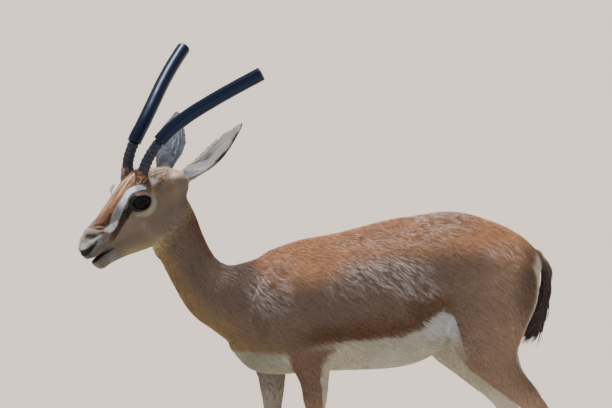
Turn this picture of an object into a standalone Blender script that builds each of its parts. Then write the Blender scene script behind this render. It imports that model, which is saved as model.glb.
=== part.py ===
"""A life-size standing gazelle with rubber sleeves on its horns, as a still museum model.

Lengths are in millimetres in the tables and become metres in the meshes. +Z is up, the animal
faces -X and its left side is towards -Y. The soles of the hooves are at Z = 0.
"""

import math

import bmesh
import bpy
import numpy as np
from mathutils import Matrix, Vector

MM = 0.001
GAP = 0.3 * MM
LEFT, RIGHT = 1, -1

# Outline tables of the trunk and neck. Each row is one slice of the body: a point on the upper
# outline (x, z), a point on the lower outline (x, z), the half width, and how much wider the
# slice is above its middle (positive) or below it (negative).
TRUNK = [
    (-189, 462, -189, 400, 30, 0.0),
    (-174, 503, -174, 379, 48, 0.0),
    (-152, 544, -152, 357, 58, -0.02),
    (-126, 568, -126, 347, 66, -0.05),
    (-92, 584, -92, 345, 73, -0.08),
    (-55, 596, -55, 347, 80, -0.10),
    (0, 606, 0, 351, 89, -0.14),
    (56, 620, 56, 353, 96, -0.17),
    (111, 634, 111, 356, 98, -0.16),
    (157, 641, 157, 365, 96, -0.10),
    (204, 648, 204, 388, 91, -0.02),
    (240, 647, 240, 414, 87, 0.06),
    (287, 635, 287, 444, 81, 0.10),
    (329, 618, 329, 462, 72, 0.08),
    (361, 598, 361, 475, 58, 0.05),
    (381, 577, 381, 492, 40, 0.0),
    (389, 560, 389, 508, 20, 0.0),
]
# The neck's rows have the slice's sideways place as a seventh value: the neck bends to the left.
NECK = [
    (-288, 706, -348, 630, 22, 0.05, -18),
    (-264, 677, -334, 600, 28, 0.05, -14),
    (-250, 649, -326, 573, 30, 0.05, -10),
    (-237, 614, -314, 557, 31, 0.0, -7),
    (-224, 584, -300, 530, 33, 0.0, -4),
    (-207, 559, -285, 501, 37, 0.0, -2),
    (-187, 549, -270, 475, 42, -0.05, 0),
    (-161, 553, -250, 451, 48, -0.08, 0),
    (-133, 562, -222, 430, 54, -0.10, 0),
    (-102, 576, -192, 407, 60, -0.12, 0),
    (-74, 580, -161, 375, 62, -0.15, 0),
]
# Limb rows: front edge (x, z), back edge (x, z), half width, sideways place of the middle.
FORE_LIMB = [
    (-98, 566, -44, 572, 8, 36),
    (-128, 536, -28, 543, 20, 41),
    (-148, 503, -22, 512, 28, 47),
    (-158, 457, -14, 462, 34, 47),
    (-141, 420, -3, 430, 35, 46),
    (-102, 389, 6, 398, 31, 48),
    (-72, 363, 3, 370, 25, 51),
    (-57, 337, -1, 340, 20, 53),
    (-50, 303, -4, 303, 17, 54),
    (-44, 263, -9, 263, 14, 54),
    (-41, 226, -13, 226, 12.5, 53),
    (-42, 203, -12, 203, 14.5, 53),
    (-41, 185, -11, 185, 14, 53),
    (-38, 163, -17, 163, 10.5, 53),
    (-37, 115, -19, 115, 9, 52),
    (-37, 70, -18, 69, 10, 52),
    (-40, 52, -17, 51, 12.5, 52),
    (-47, 36, -26, 34, 11.5, 52),
    (-53, 24, -30, 23, 13, 52),
    (-55, 14, -32, 13, 12, 52),
]
HIND_LIMB = [
    (244, 596, 334, 604, 12, 36),
    (224, 562, 362, 574, 28, 42),
    (212, 512, 384, 530, 39, 48),
    (214, 462, 381, 484, 42, 53),
    (218, 424, 361, 434, 39, 57),
    (231, 394, 349, 402, 33, 60),
    (250, 367, 350, 381, 28, 61),
    (276, 347, 355, 364, 25, 62),
    (303, 327, 366, 347, 21, 62),
    (329, 307, 379, 330, 18, 62),
    (350, 289, 391, 313, 15.5, 61),
    (366, 272, 403, 296, 14, 61),
    (377, 255, 412, 277, 14.5, 60),
    (383, 239, 412, 247, 14.5, 60),
    (385, 216, 409, 217, 11.5, 59),
    (384, 180, 404, 180, 9.5, 58),
    (381, 115, 400, 115, 9, 57),
    (378, 70, 398, 69, 10.5, 56),
    (375, 52, 398, 51, 12.5, 56),
    (368, 37, 389, 36, 11.5, 56),
    (361, 25, 384, 24, 13, 56),
    (359, 14, 382, 13, 12, 56),
]
# The far legs stand ahead of the near ones: (height where the shift begins, where it is full,
# the shift). Each near leg has a shift of nothing.
FORE_STRIDE = (470, 372, -80)
HIND_STRIDE = (560, 400, -56)

# The head's own frame: forward along the muzzle, left, and up from the line between the eyes.
HEAD_AT = (-370, -60, 677.5)
HEAD_YAW, HEAD_PITCH, HEAD_ROLL = 28, 37, 8
# Face rows: forward place, top, bottom, half width, and how much wider the top is.
FACE = [
    (-113, -26, -60, 16, 0.0),
    (-101, -9, -70, 27, 0.0),
    (-85, 6, -76, 34, 0.05),
    (-65, 20, -78, 37, 0.10),
    (-45, 29, -76, 38, 0.15),
    (-25, 33, -72, 38, 0.18),
    (-5, 31, -66, 36, 0.20),
    (15, 26, -62, 33, 0.16),
    (32, 23, -57, 28, 0.08),
    (52, 19, -52, 23, 0.0),
    (70, 14, -48, 20, -0.05),
    (88, 11, -42, 18.5, -0.05),
    (104, 10, -40, 19, 0.0),
    (117, 3, -39.5, 17.5, 0.0),
    (127, -4, -38.5, 14, 0.05),
    (133, -11, -34, 8, 0.0),
]
JAW = [
    (-62, -58, -98, 20, 0.0),
    (-40, -50, -110, 25, 0.1),
    (-15, -48, -112, 24, 0.15),
    (15, -45, -107, 20, 0.15),
    (40, -44, -97, 16, 0.1),
    (60, -42, -88, 13.5, 0.0),
    (85, -43, -79, 12.5, 0.0),
    (100, -44, -75, 13, 0.0),
    (111, -45, -73, 13, 0.0),
    (120, -46, -66, 11, 0.0),
    (126, -47, -57, 6, 0.0),
]
# The swellings on one side of the head: centre and radii.
SWELLINGS = {
    "brow": ((-9, 30, 5), (27, 15, 19)),
    "under_eye": ((6, 30, -11), (30, 13, 17)),
    "orbit": ((-10, 29, -3), (30, 17, 23)),
    "cheek": ((-30, 21, -60), (42, 15, 38)),
    "nose_wing": ((108.5, 12, -9), (15.5, 7, 9)),
    "upper_lip": ((108, 11, -30), (22, 8.5, 9.5)),
    "chin": ((113, 4, -60), (11, 9, 12)),
}
# The eyeball, the way it faces, and the long way and half sizes of the opening between the lids.
EYE_AT, EYE_RADIUS, EYE_FACES = (-6, 31.5, -1), 19.2, (0.22, 1.0, 0.10)
EYE_AHEAD, EYE_OPENING, LID_RADIUS = (1, 0, 0.6), (16.8, 12.6), 3.2
SOCKET_GAP = 0.6
# The line between the lips, on one side, and the nostril's line with its radii.
MOUTH_LINE = [(80, 20, -46.5), (90, 19, -44.5), (101, 18.5, -42), (112, 15.5, -40.5), (121, 9.5, -40.5)]
MOUTH_FRONT, LIPS_APART = (126, 0, -40), 1.1
# How far the gap between the lips reaches in, and the middle of the mouth that it is aimed at.
MOUTH_DEPTH, MOUTH_MIDDLE = 5.0, 70
NOSTRIL_LINE = [(104, 21, -14), (112, 19.5, -17), (121, 17, -17.5), (128, 12.5, -17), (132, 6, -17)]
NOSTRIL_RADII = [1.2, 2.4, 3.2, 3.8, 4.2, 4.2, 3.8, 3.0, 1.6]
# The horn's bony root, then its centre line from where the hair ends to the hose's far end.
HORN_CORE = (-24, 22, 4)
HORN_PATH = [
    (-35.5, 25.3, 29.5),
    (-48, 29.5, 42.5),
    (-80, 35.5, 61.5),
    (-119, 44, 74),
    (-161, 62.5, 81.5),
    (-208, 89, 86),
    (-252, 113.5, 87.5),
    (-299, 138, 87),
]
PEDICLE_RADII = (24, 18, 12.5, 11.0)
HORN_ROOT_RADIUS, HORN_TIP_RADIUS = 9.3, 4.0
RING_SPACING, RING_HEIGHT = 9.5, 1.1
# The hoses start at different shares of the two horns' lengths.
SLEEVE_FROM = {LEFT: 0.249, RIGHT: 0.189}
SLEEVE_RADIUS, SLEEVE_FIT = 12.8, 0.4
EAR_ROOT = (-105, 39, -22)
EAR_TIPS = {LEFT: (-116, 86, 51), RIGHT: (-116, -96, 18)}
EAR_OPENS = {LEFT: (0.137, 0.06, 0.989), RIGHT: (-0.3, 0.5, 0.8)}
EAR_HALF_WIDTH, EAR_DEPTH, EAR_WALL, EAR_BOW = 27.0, 13.0, 2.6, 6.0
EAR_SPREAD = 100
EAR_STALK_RADII = (20, 17, 14.0)
# The flat seats of the horns and ears on the head: the cutter's radius and its thickness.
SEAT_RADIUS, SEAT_THICKNESS = 19, 14

# Hooves: toe and heel in x, the foot's sideways place, and the two claws' gap and width.
FORE_HOOF, HIND_HOOF = (-74, -24, 52), (340, 390, 56)
CLAW_APART, CLAW_WIDTH, CLAW_HEIGHT = 1.0, 14.0, 26.85
LEG_END = 27.15

TAIL_PATH = [(366, 573), (380, 570), (393, 556), (400, 530), (401, 506), (399, 478), (393, 450)]
TAIL_CORE = (10.0, 8.6, 7.8, 7.0, 6.2, 5.4, 3.6)
TAIL_PARTING = 0.20
# The stump that carries the tail: shares of the tail's length and the stump's radii there.
TAIL_STALK, STALK_RADII = (0.0, 0.12, 0.26), (13, 11, 9.5)
# Where the tail's locks start along it, and where they stand round it in turn, in degrees.
LOCK_ROWS = [0.30, 0.46, 0.62, 0.78, 0.93]
LOCK_TURNS = ([-84, -28, 28, 84], [-115, -40, 40, 115])


def clear_scene():
    for old in list(bpy.data.objects):
        bpy.data.objects.remove(old, do_unlink=True)


def material(name, rgb, roughness=0.8):
    made = bpy.data.materials.new(name)
    made.use_nodes = True
    shader = made.node_tree.nodes["Principled BSDF"]
    shader.inputs["Base Color"].default_value = (*rgb, 1.0)
    shader.inputs["Roughness"].default_value = roughness
    shader.inputs["Metallic"].default_value = 0.0
    made.diffuse_color = (*rgb, 1.0)
    return made


def add_object(name, points, faces, finish=None):
    mesh = bpy.data.meshes.new(name)
    mesh.from_pydata([tuple(p) for p in points], [], faces)
    made = bpy.data.objects.new(name, mesh)
    bpy.context.scene.collection.objects.link(made)
    if finish is not None:
        mesh.materials.append(finish)
    return made


def smooth_rows(rows, steps):
    """Rows of numbers read as a smooth cubic through the given ones, steps to each interval."""
    rows = np.array(rows, float)
    reach = np.linalg.norm(np.diff(rows[:, :3], axis=0), axis=1)
    at = np.concatenate([[0], np.cumsum(reach)])
    slope = np.gradient(rows, at, axis=0)
    out = []
    for i in range(len(rows) - 1):
        span = at[i + 1] - at[i]
        for t in np.linspace(0, 1, steps, endpoint=False):
            a, b = 2 * t**3 - 3 * t**2 + 1, t**3 - 2 * t**2 + t
            c, d = -2 * t**3 + 3 * t**2, t**3 - t**2
            out.append(a * rows[i] + b * span * slope[i] + c * rows[i + 1] + d * span * slope[i + 1])
    out.append(rows[-1])
    return np.array(out)


def curve_points(path, shares):
    """Points at shares of the length of the smooth curve through a path's points."""
    rows = smooth_rows(path, 12)
    reach = np.concatenate([[0], np.cumsum(np.linalg.norm(np.diff(rows, axis=0), axis=1))])
    at = np.asarray(shares) * reach[-1]
    return np.stack([np.interp(at, reach, rows[:, i]) for i in range(3)], axis=1)


def skin_rings(rings):
    """Points and faces of a closed tube through rings of equal counts, with both ends filled."""
    count, around = len(rings), len(rings[0])
    points = [p for ring in rings for p in ring]
    faces = []
    for i in range(count - 1):
        for j in range(around):
            k = (j + 1) % around
            faces.append((i * around + j, i * around + k, (i + 1) * around + k, (i + 1) * around + j))
    faces.append(tuple(reversed(range(around))))
    faces.append(tuple((count - 1) * around + j for j in range(around)))
    return points, faces


def looped_rings(rings):
    """Points and faces of a closed loop of rings, the last of which meets the first."""
    count, around = len(rings), len(rings[0])
    points = [p for ring in rings for p in ring]
    faces = []
    for i in range(count):
        n = (i + 1) % count
        for j in range(around):
            k = (j + 1) % around
            faces.append((i * around + j, i * around + k, n * around + k, n * around + j))
    return points, faces


def face_out(obj):
    """Turns every face outwards."""
    mesh = bmesh.new()
    mesh.from_mesh(obj.data)
    bmesh.ops.recalc_face_normals(mesh, faces=mesh.faces)
    mesh.to_mesh(obj.data)
    mesh.free()
    return obj


def slice_ring(first, second, half_width, side_at, bias, around):
    """An oval between two outline points (x, z): its long axis joins them, its width is along Y."""
    first, second = np.array(first, float), np.array(second, float)
    middle, reach = (first + second) / 2, (first - second) / 2
    ring = []
    for angle in np.linspace(0, 2 * math.pi, around, endpoint=False):
        up, out = math.sin(angle), math.cos(angle)
        wide = half_width * out * (1 + bias * up)
        x, z = middle + reach * up
        ring.append(Vector((x, side_at + wide, z)) * MM)
    return ring


def outline_loft(name, rows, steps=3, around=28):
    """A body form from rows of two outline points, a half width, a bias and a sideways place."""
    rows = [tuple(row) + (0,) * (7 - len(row)) for row in rows]
    rings = [
        slice_ring(row[0:2], row[2:4], row[4], row[6], row[5], around)
        for row in smooth_rows(rows, steps)
    ]
    return face_out(add_object(name, *skin_rings(rings)))


def stride_shift(height, stride):
    start, full, shift = stride
    t = min(1.0, max(0.0, (start - height) / (start - full)))
    return shift * t * t * (3 - 2 * t)


def limb_rows(rows, side, stride):
    """The limb's outline rows on one side, moved forward by the stride on the far side."""
    out = []
    for front_x, front_z, back_x, back_z, half_width, place in rows:
        shift = stride_shift((front_z + back_z) / 2, stride) if side == RIGHT else 0.0
        out.append(
            (front_x + shift, front_z, back_x + shift, back_z, half_width, 0.0, -side * place)
        )
    return out


def head_frame():
    """The matrix from the head's own frame, in metres, to the model's frame."""
    turn = (
        Matrix.Rotation(math.radians(HEAD_YAW), 4, "Z")
        @ Matrix.Rotation(math.radians(-HEAD_PITCH), 4, "Y")
        @ Matrix.Rotation(math.radians(HEAD_ROLL), 4, "X")
    )
    facing = Matrix(((-1, 0, 0, 0), (0, -1, 0, 0), (0, 0, 1, 0), (0, 0, 0, 1)))
    return Matrix.Translation(Vector(HEAD_AT) * MM) @ turn @ facing


HEAD = head_frame()


def head_loft(name, rows):
    """A head form from rows of forward place, top, bottom, half width and bias."""
    made = outline_loft(name, [(a, top, a, low, wide, bias) for a, top, low, wide, bias in rows])
    made.data.transform(HEAD)
    return made


def ball(name, centre, radii, segments=20, rings=12):
    """An ellipsoid in the head's frame, with its poles above and below."""
    made = bpy.data.objects.new(name, bpy.data.meshes.new(name))
    bpy.context.scene.collection.objects.link(made)
    mesh = bmesh.new()
    bmesh.ops.create_uvsphere(mesh, u_segments=segments, v_segments=rings, radius=1.0)
    sized = Matrix.Diagonal((*[r * MM for r in radii], 1.0))
    placed = Matrix.Translation(Vector(centre) * MM) @ sized
    bmesh.ops.transform(mesh, matrix=HEAD @ placed, verts=mesh.verts)
    mesh.to_mesh(made.data)
    mesh.free()
    return made


def sweep(name, path, radii, around=16, frame=HEAD, finish=None, level_axis=(0, 0, 1)):
    """A round tube along a path in the given frame, with a radius at each of its points."""
    rings = tube_rings(path, radii, around, frame, level_axis)
    return face_out(add_object(name, *skin_rings(rings), finish))


def tube_rings(path, radii, around, frame=HEAD, level_axis=(0, 0, 1)):
    """Circles square to the path, which start at the side that the level axis gives."""
    path = np.array(path, float)
    tangents = np.gradient(path, axis=0)
    rings = []
    for point, tangent, radius in zip(path, tangents, radii):
        along = Vector(tangent).normalized()
        side = along.cross(Vector(level_axis)).normalized()
        up = side.cross(along)
        ring = []
        for angle in np.linspace(0, 2 * math.pi, around, endpoint=False):
            offset = side * math.cos(angle) + up * math.sin(angle)
            ring.append(frame @ ((Vector(point) + offset * radius) * MM))
        rings.append(ring)
    return rings


def mirrored(point, side):
    """A point of the head's left side, on the side asked for."""
    return (point[0], point[1] * side, point[2])


def join(name, pieces):
    """The pieces' meshes as one object, before a remesh or a union makes them one body."""
    mesh = bmesh.new()
    for piece in pieces:
        mesh.from_mesh(piece.data)
        bpy.data.objects.remove(piece)
    made = bpy.data.objects.new(name, bpy.data.meshes.new(name))
    mesh.to_mesh(made.data)
    mesh.free()
    bpy.context.scene.collection.objects.link(made)
    return made


def settle(obj):
    """Applies every modifier, so that the next step reads the finished mesh."""
    bpy.context.view_layer.update()
    graph = bpy.context.evaluated_depsgraph_get()
    done = bpy.data.meshes.new_from_object(obj.evaluated_get(graph))
    obj.modifiers.clear()
    obj.data = done
    return obj


def keep_largest(obj):
    """Drops loose scraps and sealed hollows: only the largest closed surface stays."""
    mesh = bmesh.new()
    mesh.from_mesh(obj.data)
    unseen, islands = set(mesh.verts), []
    while unseen:
        stack = [unseen.pop()]
        island = set(stack)
        while stack:
            for edge in stack.pop().link_edges:
                for vert in edge.verts:
                    if vert in unseen:
                        unseen.discard(vert)
                        island.add(vert)
                        stack.append(vert)
        islands.append(island)
    largest = max(islands, key=len)
    bmesh.ops.delete(mesh, geom=[v for v in mesh.verts if v not in largest], context="VERTS")
    bmesh.ops.triangulate(mesh, faces=mesh.faces)
    mesh.to_mesh(obj.data)
    mesh.free()
    return obj


def fuse_soft(name, pieces, voxel, rounds, triangles, firm_below=None):
    """One flesh form from overlapping ones: a fine remesh, smoothed, then thinned to a count.

    Below the height firm_below, in millimetres, the smoothing fades out, so slim legs keep
    their thickness.
    """
    made = join(name, pieces)
    remesh = made.modifiers.new("one_body", "REMESH")
    remesh.mode = "VOXEL"
    remesh.voxel_size = voxel * MM
    settle(made)
    smooth = made.modifiers.new("soften", "SMOOTH")
    smooth.factor = 0.5
    smooth.iterations = rounds
    if firm_below is not None:
        group = made.vertex_groups.new(name="soft")
        low, high = firm_below
        for vert in made.data.vertices:
            t = (vert.co.z / MM - low) / (high - low)
            group.add([vert.index], min(1.0, max(0.12, t)), "REPLACE")
        smooth.vertex_group = "soft"
    settle(made)
    made.vertex_groups.clear()
    faces = sum(len(p.vertices) - 2 for p in made.data.polygons)
    thin = made.modifiers.new("thin", "DECIMATE")
    thin.ratio = triangles / faces
    settle(made)
    return made


def cut_plane(obj, point, normal):
    """Keeps what lies on the side that the normal points to, and closes the cut with a flat face."""
    mesh = bmesh.new()
    mesh.from_mesh(obj.data)
    geometry = list(mesh.verts) + list(mesh.edges) + list(mesh.faces)
    cut = bmesh.ops.bisect_plane(
        mesh, geom=geometry, plane_co=point, plane_no=normal, clear_inner=True, dist=1e-7
    )
    edges = [e for e in cut["geom_cut"] if isinstance(e, bmesh.types.BMEdge)]
    bmesh.ops.edgeloop_fill(mesh, edges=edges)
    bmesh.ops.triangulate(mesh, faces=mesh.faces)
    mesh.to_mesh(obj.data)
    mesh.free()
    return face_out(obj)


def combine(obj, others, operation):
    """A Boolean with each of the other objects in turn, applied, after which they are removed."""
    for other in others:
        change = obj.modifiers.new("change", "BOOLEAN")
        change.operation = operation
        change.object = other
        change.solver = "EXACT"
        settle(obj)
        bpy.data.objects.remove(other)
    return obj


def union_all(obj, others):
    """One Boolean union with a collection of closed objects, applied and then emptied."""
    group = bpy.data.collections.new("fused")
    bpy.context.scene.collection.children.link(group)
    for other in others:
        for holder in list(other.users_collection):
            holder.objects.unlink(other)
        group.objects.link(other)
    change = obj.modifiers.new("fuse", "BOOLEAN")
    change.operation = "UNION"
    change.operand_type = "COLLECTION"
    change.collection = group
    change.solver = "EXACT"
    settle(obj)
    for other in list(group.objects):
        bpy.data.objects.remove(other)
    bpy.data.collections.remove(group)
    return obj


def copy_of(obj, name):
    made = bpy.data.objects.new(name, obj.data.copy())
    bpy.context.scene.collection.objects.link(made)
    return made


def block(name, xs, ys, top, low=-60.0):
    """A closed block over a range of x and y whose slanted top is the height that top(x, y) gives."""
    corners = [(xs[0], ys[0]), (xs[1], ys[0]), (xs[1], ys[1]), (xs[0], ys[1])]
    points = [Vector((x, y, low)) * MM for x, y in corners]
    points += [Vector((x, y, top(x, y))) * MM for x, y in corners]
    faces = [(0, 1, 2, 3), (4, 5, 6, 7)] + [(i, (i + 1) % 4, (i + 1) % 4 + 4, i + 4) for i in range(4)]
    return face_out(add_object(name, points, faces))


def plate(name, centre, normal, across, thickness, frame=HEAD):
    """A flat round cutter that starts at the centre and reaches its thickness along the normal."""
    start, along = Vector(centre), Vector(normal).normalized()
    path = [start, start + along * thickness]
    turn = (0, 0, 1) if abs(along.z) < 0.9 else (1, 0, 0)
    return sweep(name, path, (across, across), 16, frame, level_axis=turn)


# Where the flesh is parted: a point on the plane and its direction, in millimetres.
NAPE, THROAT = Vector((-259, 0, 668)), Vector((-331, 0, 572))
WITHERS, BREAST = Vector((-178, 0, 552)), Vector((-234, 0, 432))
# The room of a fore and of a hind leg from front to back, and from its inner to its outer side.
FORE_ROOM, HIND_ROOM, ROOM_SIDES = (-178, 24), (206, 440), (7, 150)


def stride_of(fore, side):
    """How far a leg's foot stands from the near foot of its pair."""
    return (FORE_STRIDE if fore else HIND_STRIDE)[2] if side == RIGHT else 0.0


def parting(upper, lower):
    """A plane through two outline points that holds the Y axis: its point and its forward normal."""
    down = (lower - upper).normalized()
    return (upper + lower) / 2 * MM, Vector((0, 1, 0)).cross(down).normalized()


def fore_top(shift):
    """The height of a fore leg's parting: 347 inside, rising outwards by three in four."""
    return lambda x, y: 347 + (abs(y) - 18) * 0.75 + shift


def hind_top(stride, shift):
    """The height of a hind leg's parting, which also rises rearwards by one in four."""
    return lambda x, y: 392 + (abs(y) - 20) * 0.75 + (x - stride - 300) * 0.25 + shift


def leg_block(fore, side, grow):
    """The room that one leg takes below its parting, grown or shrunk by a part of the gap."""
    stride = stride_of(fore, side)
    front, back = FORE_ROOM if fore else HIND_ROOM
    top = fore_top(grow) if fore else hind_top(stride, grow)
    inner, outer = ROOM_SIDES
    ys = (inner - grow, outer + grow) if side == RIGHT else (-outer - grow, grow - inner)
    return block("room", (front + stride - grow, back + stride + grow), ys, top)


def horn_points(side, shares):
    """Points of the horn's centre line at shares of its length."""
    return curve_points([mirrored(p, side) for p in HORN_PATH], shares)


def horn_radius(share):
    return HORN_ROOT_RADIUS + (HORN_TIP_RADIUS - HORN_ROOT_RADIUS) * share**1.3


def horn_plane(side):
    start = horn_points(side, [0.0, 0.02])
    return Vector(start[0]), Vector(start[1] - start[0]).normalized()


def sleeve_shares(side):
    """Where the hose's rings are, as shares of the horn line. The horn ends one ring before it."""
    return np.linspace(SLEEVE_FROM[side], 1.0, 10)


def make_horn(side, name, finish):
    """A horn: ringed where it shows, smooth and tapering inside its sleeve."""
    shown = SLEEVE_FROM[side] * 0.96
    length = np.linalg.norm(np.diff(horn_points(side, np.linspace(0, shown, 9)), axis=0), axis=1).sum()
    count = round(length / RING_SPACING)
    shares, bumps, groove = [0.0], [0.3], -0.2
    for ring in range(count):
        shares += [shown / count * (ring + part) for part in (0.3, 0.6, 0.95)]
        bumps += [RING_HEIGHT, RING_HEIGHT * 0.7, groove]
    rest = sleeve_shares(side)[:-1]
    shares += list(rest)
    bumps += [groove] * len(rest)
    path = horn_points(side, shares)
    path[0] = path[0] + (path[1] - path[0]) / np.linalg.norm(path[1] - path[0]) * GAP / MM
    radii = [horn_radius(s) + b for s, b in zip(shares, bumps)]
    return sweep(name, path, radii, 12, HEAD, finish)


def make_sleeve(side, name, finish):
    """A rubber hose pushed over the horn: a tube with both ends cut square, snug on the horn."""
    shares = sleeve_shares(side)
    path = horn_points(side, shares)
    bore = [horn_radius(s) + SLEEVE_FIT for s in shares]
    outside = tube_rings(path, [SLEEVE_RADIUS] * len(shares), 12)
    inside = tube_rings(path, bore, 12)
    return face_out(add_object(name, *looped_rings(outside + inside[::-1]), finish))


def ear_rings(side, steps=12, around=9):
    """Rings of a leaf-shaped cup: solid where it leaves the head, a thin curved wall above."""
    root = Vector(mirrored(EAR_ROOT, side))
    reach = Vector(EAR_TIPS[side])
    along = reach.normalized()
    opens = Vector(EAR_OPENS[side])
    opens = (opens - along * opens.dot(along)).normalized()
    across = along.cross(opens)
    rings = []
    for step in range(steps):
        s = step / (steps - 1)
        half = np.interp(s, [0, 0.12, 0.3, 0.5, 0.7, 0.86, 1], [0.56, 0.66, 0.92, 1.0, 0.74, 0.38, 0.05])
        deep = np.interp(s, [0, 0.15, 0.35, 0.6, 0.85, 1], [0.92, 1.0, 0.95, 0.7, 0.35, 0.06])
        half, deep = half * EAR_HALF_WIDTH, deep * EAR_DEPTH
        cup = float(np.interp(s, [0, 0.10, 0.30, 1], [0.0, 0.15, 1.0, 1.0]))
        swell = 0.18 + 0.6 * (1 - cup)
        wall = EAR_WALL * (1 - 0.55 * s)
        bow = EAR_BOW * math.sin(math.pi * s)
        middle = root + along * (reach.length * s) - opens * bow
        outer, inner = [], []
        for j in range(around):
            turn = math.radians(EAR_SPREAD * (2 * j / (around - 1) - 1))
            wallpoint = middle + across * (half * math.sin(turn)) - opens * (deep * math.cos(turn))
            inset_w, inset_d = max(half - wall, half * 0.45), max(deep - wall, deep * 0.3)
            hollow = middle + across * (inset_w * math.sin(turn)) - opens * (inset_d * math.cos(turn))
            raised = opens * (swell * deep * max(0.0, math.cos(turn)))
            rounded = middle + across * (inset_w * math.sin(turn)) + raised
            outer.append(wallpoint)
            inner.append(rounded.lerp(hollow, cup))
        rings.append([HEAD @ (p * MM) for p in outer + inner[::-1]])
    return rings


def make_ear(side, name, finish):
    rings = ear_rings(side)
    return face_out(add_object(name, *skin_rings(rings), finish))


def make_claw(name, toe, heel, inner, outer, finish):
    """One toe of a cloven hoof: pointed in front, flat on its inner side, level below."""
    rings, widest = [], 0.62
    levels = [(0.0, 1.0, 0.0), (3.0, 1.0, 0.0), (14.0, 0.90, 0.28), (CLAW_HEIGHT, 0.76, 0.62)]
    for height, share, lean in levels:
        length = (heel - toe) * (1 - 0.36 * lean)
        start = toe + (heel - toe) * 0.34 * lean
        width = (outer - inner) * share
        ring = []
        for t in np.linspace(0, 1, 7):
            ring.append((start + length * t, inner))
        for t in np.linspace(1, 0, 9)[1:-1]:
            if t < widest:
                bulge = math.sin(math.pi / 2 * t / widest)
            else:
                bulge = 1 - 0.9 * ((t - widest) / (1 - widest)) ** 2.2
            ring.append((start + length * t, inner + width * max(0.06, bulge)))
        rings.append([Vector((x, y, height)) * MM for x, y in ring])
    return face_out(add_object(name, *skin_rings(rings), finish))


def tail_line(share):
    """A point of the tail's bone line and its direction, at a share of its length."""
    path, near = [(x, 0, z) for x, z in TAIL_PATH], 0.025
    point, ahead, behind = curve_points(path, [share, min(1.0, share + near), max(0.0, share - near)])
    return Vector(point), Vector(ahead - behind).normalized()


def make_lock(name, path, width, thickness, out):
    """A flat tapered lock of hair along a path, of four sides, sharp at its tip."""
    path = np.array(path, float)
    tangents = np.gradient(path, axis=0)
    rings = []
    for i, (point, tangent) in enumerate(zip(path, tangents)):
        share = i / (len(path) - 1)
        along = Vector(tangent).normalized()
        side = along.cross(Vector(out)).normalized()
        up = side.cross(along)
        w = width * (0.75 + 0.5 * math.sin(math.pi * min(1.0, share * 1.1))) * max(0.12, 1 - share**2.2)
        t = thickness * max(0.2, 1 - share**1.5)
        ring = [side * w, up * t, side * -w, up * -t]
        rings.append([(Vector(point) + p) * MM for p in ring])
    return face_out(add_object(name, *skin_rings(rings)))


def tail_locks():
    """Locks in a loop down both sides and the back of the tail, longer towards its end."""
    draw = np.random.default_rng(7)
    locks = []
    for i, share in enumerate(LOCK_ROWS):
        root, along = tail_line(share)
        for turn in np.radians(LOCK_TURNS[i % 2]):
            out = Vector((math.cos(turn), math.sin(turn), 0.0))
            out = (out - along * out.dot(along)).normalized()
            core = np.interp(share * 6, range(7), TAIL_CORE)
            length = 42 + 14 * share + draw.uniform(-4, 5)
            spread = 1.5 + 5.0 * share
            start = root + out * (core * 0.3)
            bend = Vector((-4.0, 0, -3.0)) * share
            path = [
                start,
                start + along * length * 0.25 + out * (core * 0.75 + spread * 0.2),
                start + along * length * 0.6 + out * (core * 0.7 + spread * 0.7) + bend * 0.35,
                start + along * length + out * (core * 0.4 + spread * 0.4) + bend,
            ]
            locks.append(make_lock("lock", path, 5.0 - 0.6 * share, 2.0, out))
    return locks


def make_tail(finish):
    """The tail: a slim core under overlapping locks of coarse hair."""
    shares = np.linspace(0.16, 1.0, 9)
    points = [tail_line(s)[0] for s in shares]
    radii = [float(np.interp(s * 6, range(7), TAIL_CORE)) for s in shares]
    made = sweep("tail", points, radii, 12, Matrix.Identity(4), finish, (0, 1, 0))
    union_all(made, tail_locks())
    point, along = tail_line(TAIL_PARTING)
    cut_plane(made, (point + along * GAP / MM) * MM, along)
    return keep_largest(made)


def mouth_cutter():
    """A thin bent blade along the line of the mouth, from one corner round the front to the other."""
    line = MOUTH_LINE + [MOUTH_FRONT] + [mirrored(p, RIGHT) for p in MOUTH_LINE[::-1]]
    rings, clear_of_lips = [], 7.0
    for a, b, c in curve_points(line, np.linspace(0, 1, 25)):
        inward = Vector((min(0.0, MOUTH_MIDDLE - a), -b, 0)).normalized()
        half = Vector((0, 0, LIPS_APART))
        deep, out = inward * MOUTH_DEPTH, inward * -clear_of_lips
        ring = [deep, out + half, out - half]
        rings.append([HEAD @ ((Vector((a, b, c)) + p) * MM) for p in ring])
    return face_out(add_object("mouth_cutter", *skin_rings(rings)))


def nostril_cutter(side):
    """A comma-shaped hollow: narrow at its outer end, wide towards the front of the nose."""
    rows = curve_points([mirrored(p, side) for p in NOSTRIL_LINE], np.linspace(0, 1, len(NOSTRIL_RADII)))
    return sweep("nostril_cutter", rows, NOSTRIL_RADII, 10)


def head_pieces():
    """The overlapping forms of the head, of which the remesh makes one body."""
    pieces = [head_loft("face", FACE), head_loft("jaw", JAW)]
    for side in (LEFT, RIGHT):
        for name, (centre, radii) in SWELLINGS.items():
            pieces.append(ball(name, mirrored(centre, side), radii))
        start, end = Vector(mirrored(HORN_CORE, side)), Vector(mirrored(HORN_PATH[0], side))
        path = [start, start.lerp(end, 0.55), end, end + (end - start) * 0.3]
        pieces.append(sweep("pedicle", path, PEDICLE_RADII))
        root = Vector(mirrored(EAR_ROOT, side))
        along = Vector(EAR_TIPS[side]).normalized()
        path = [root - along * 30, root - along * 12, root + along * 10]
        pieces.append(sweep("ear_stalk", path, EAR_STALK_RADII))
    return pieces


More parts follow.
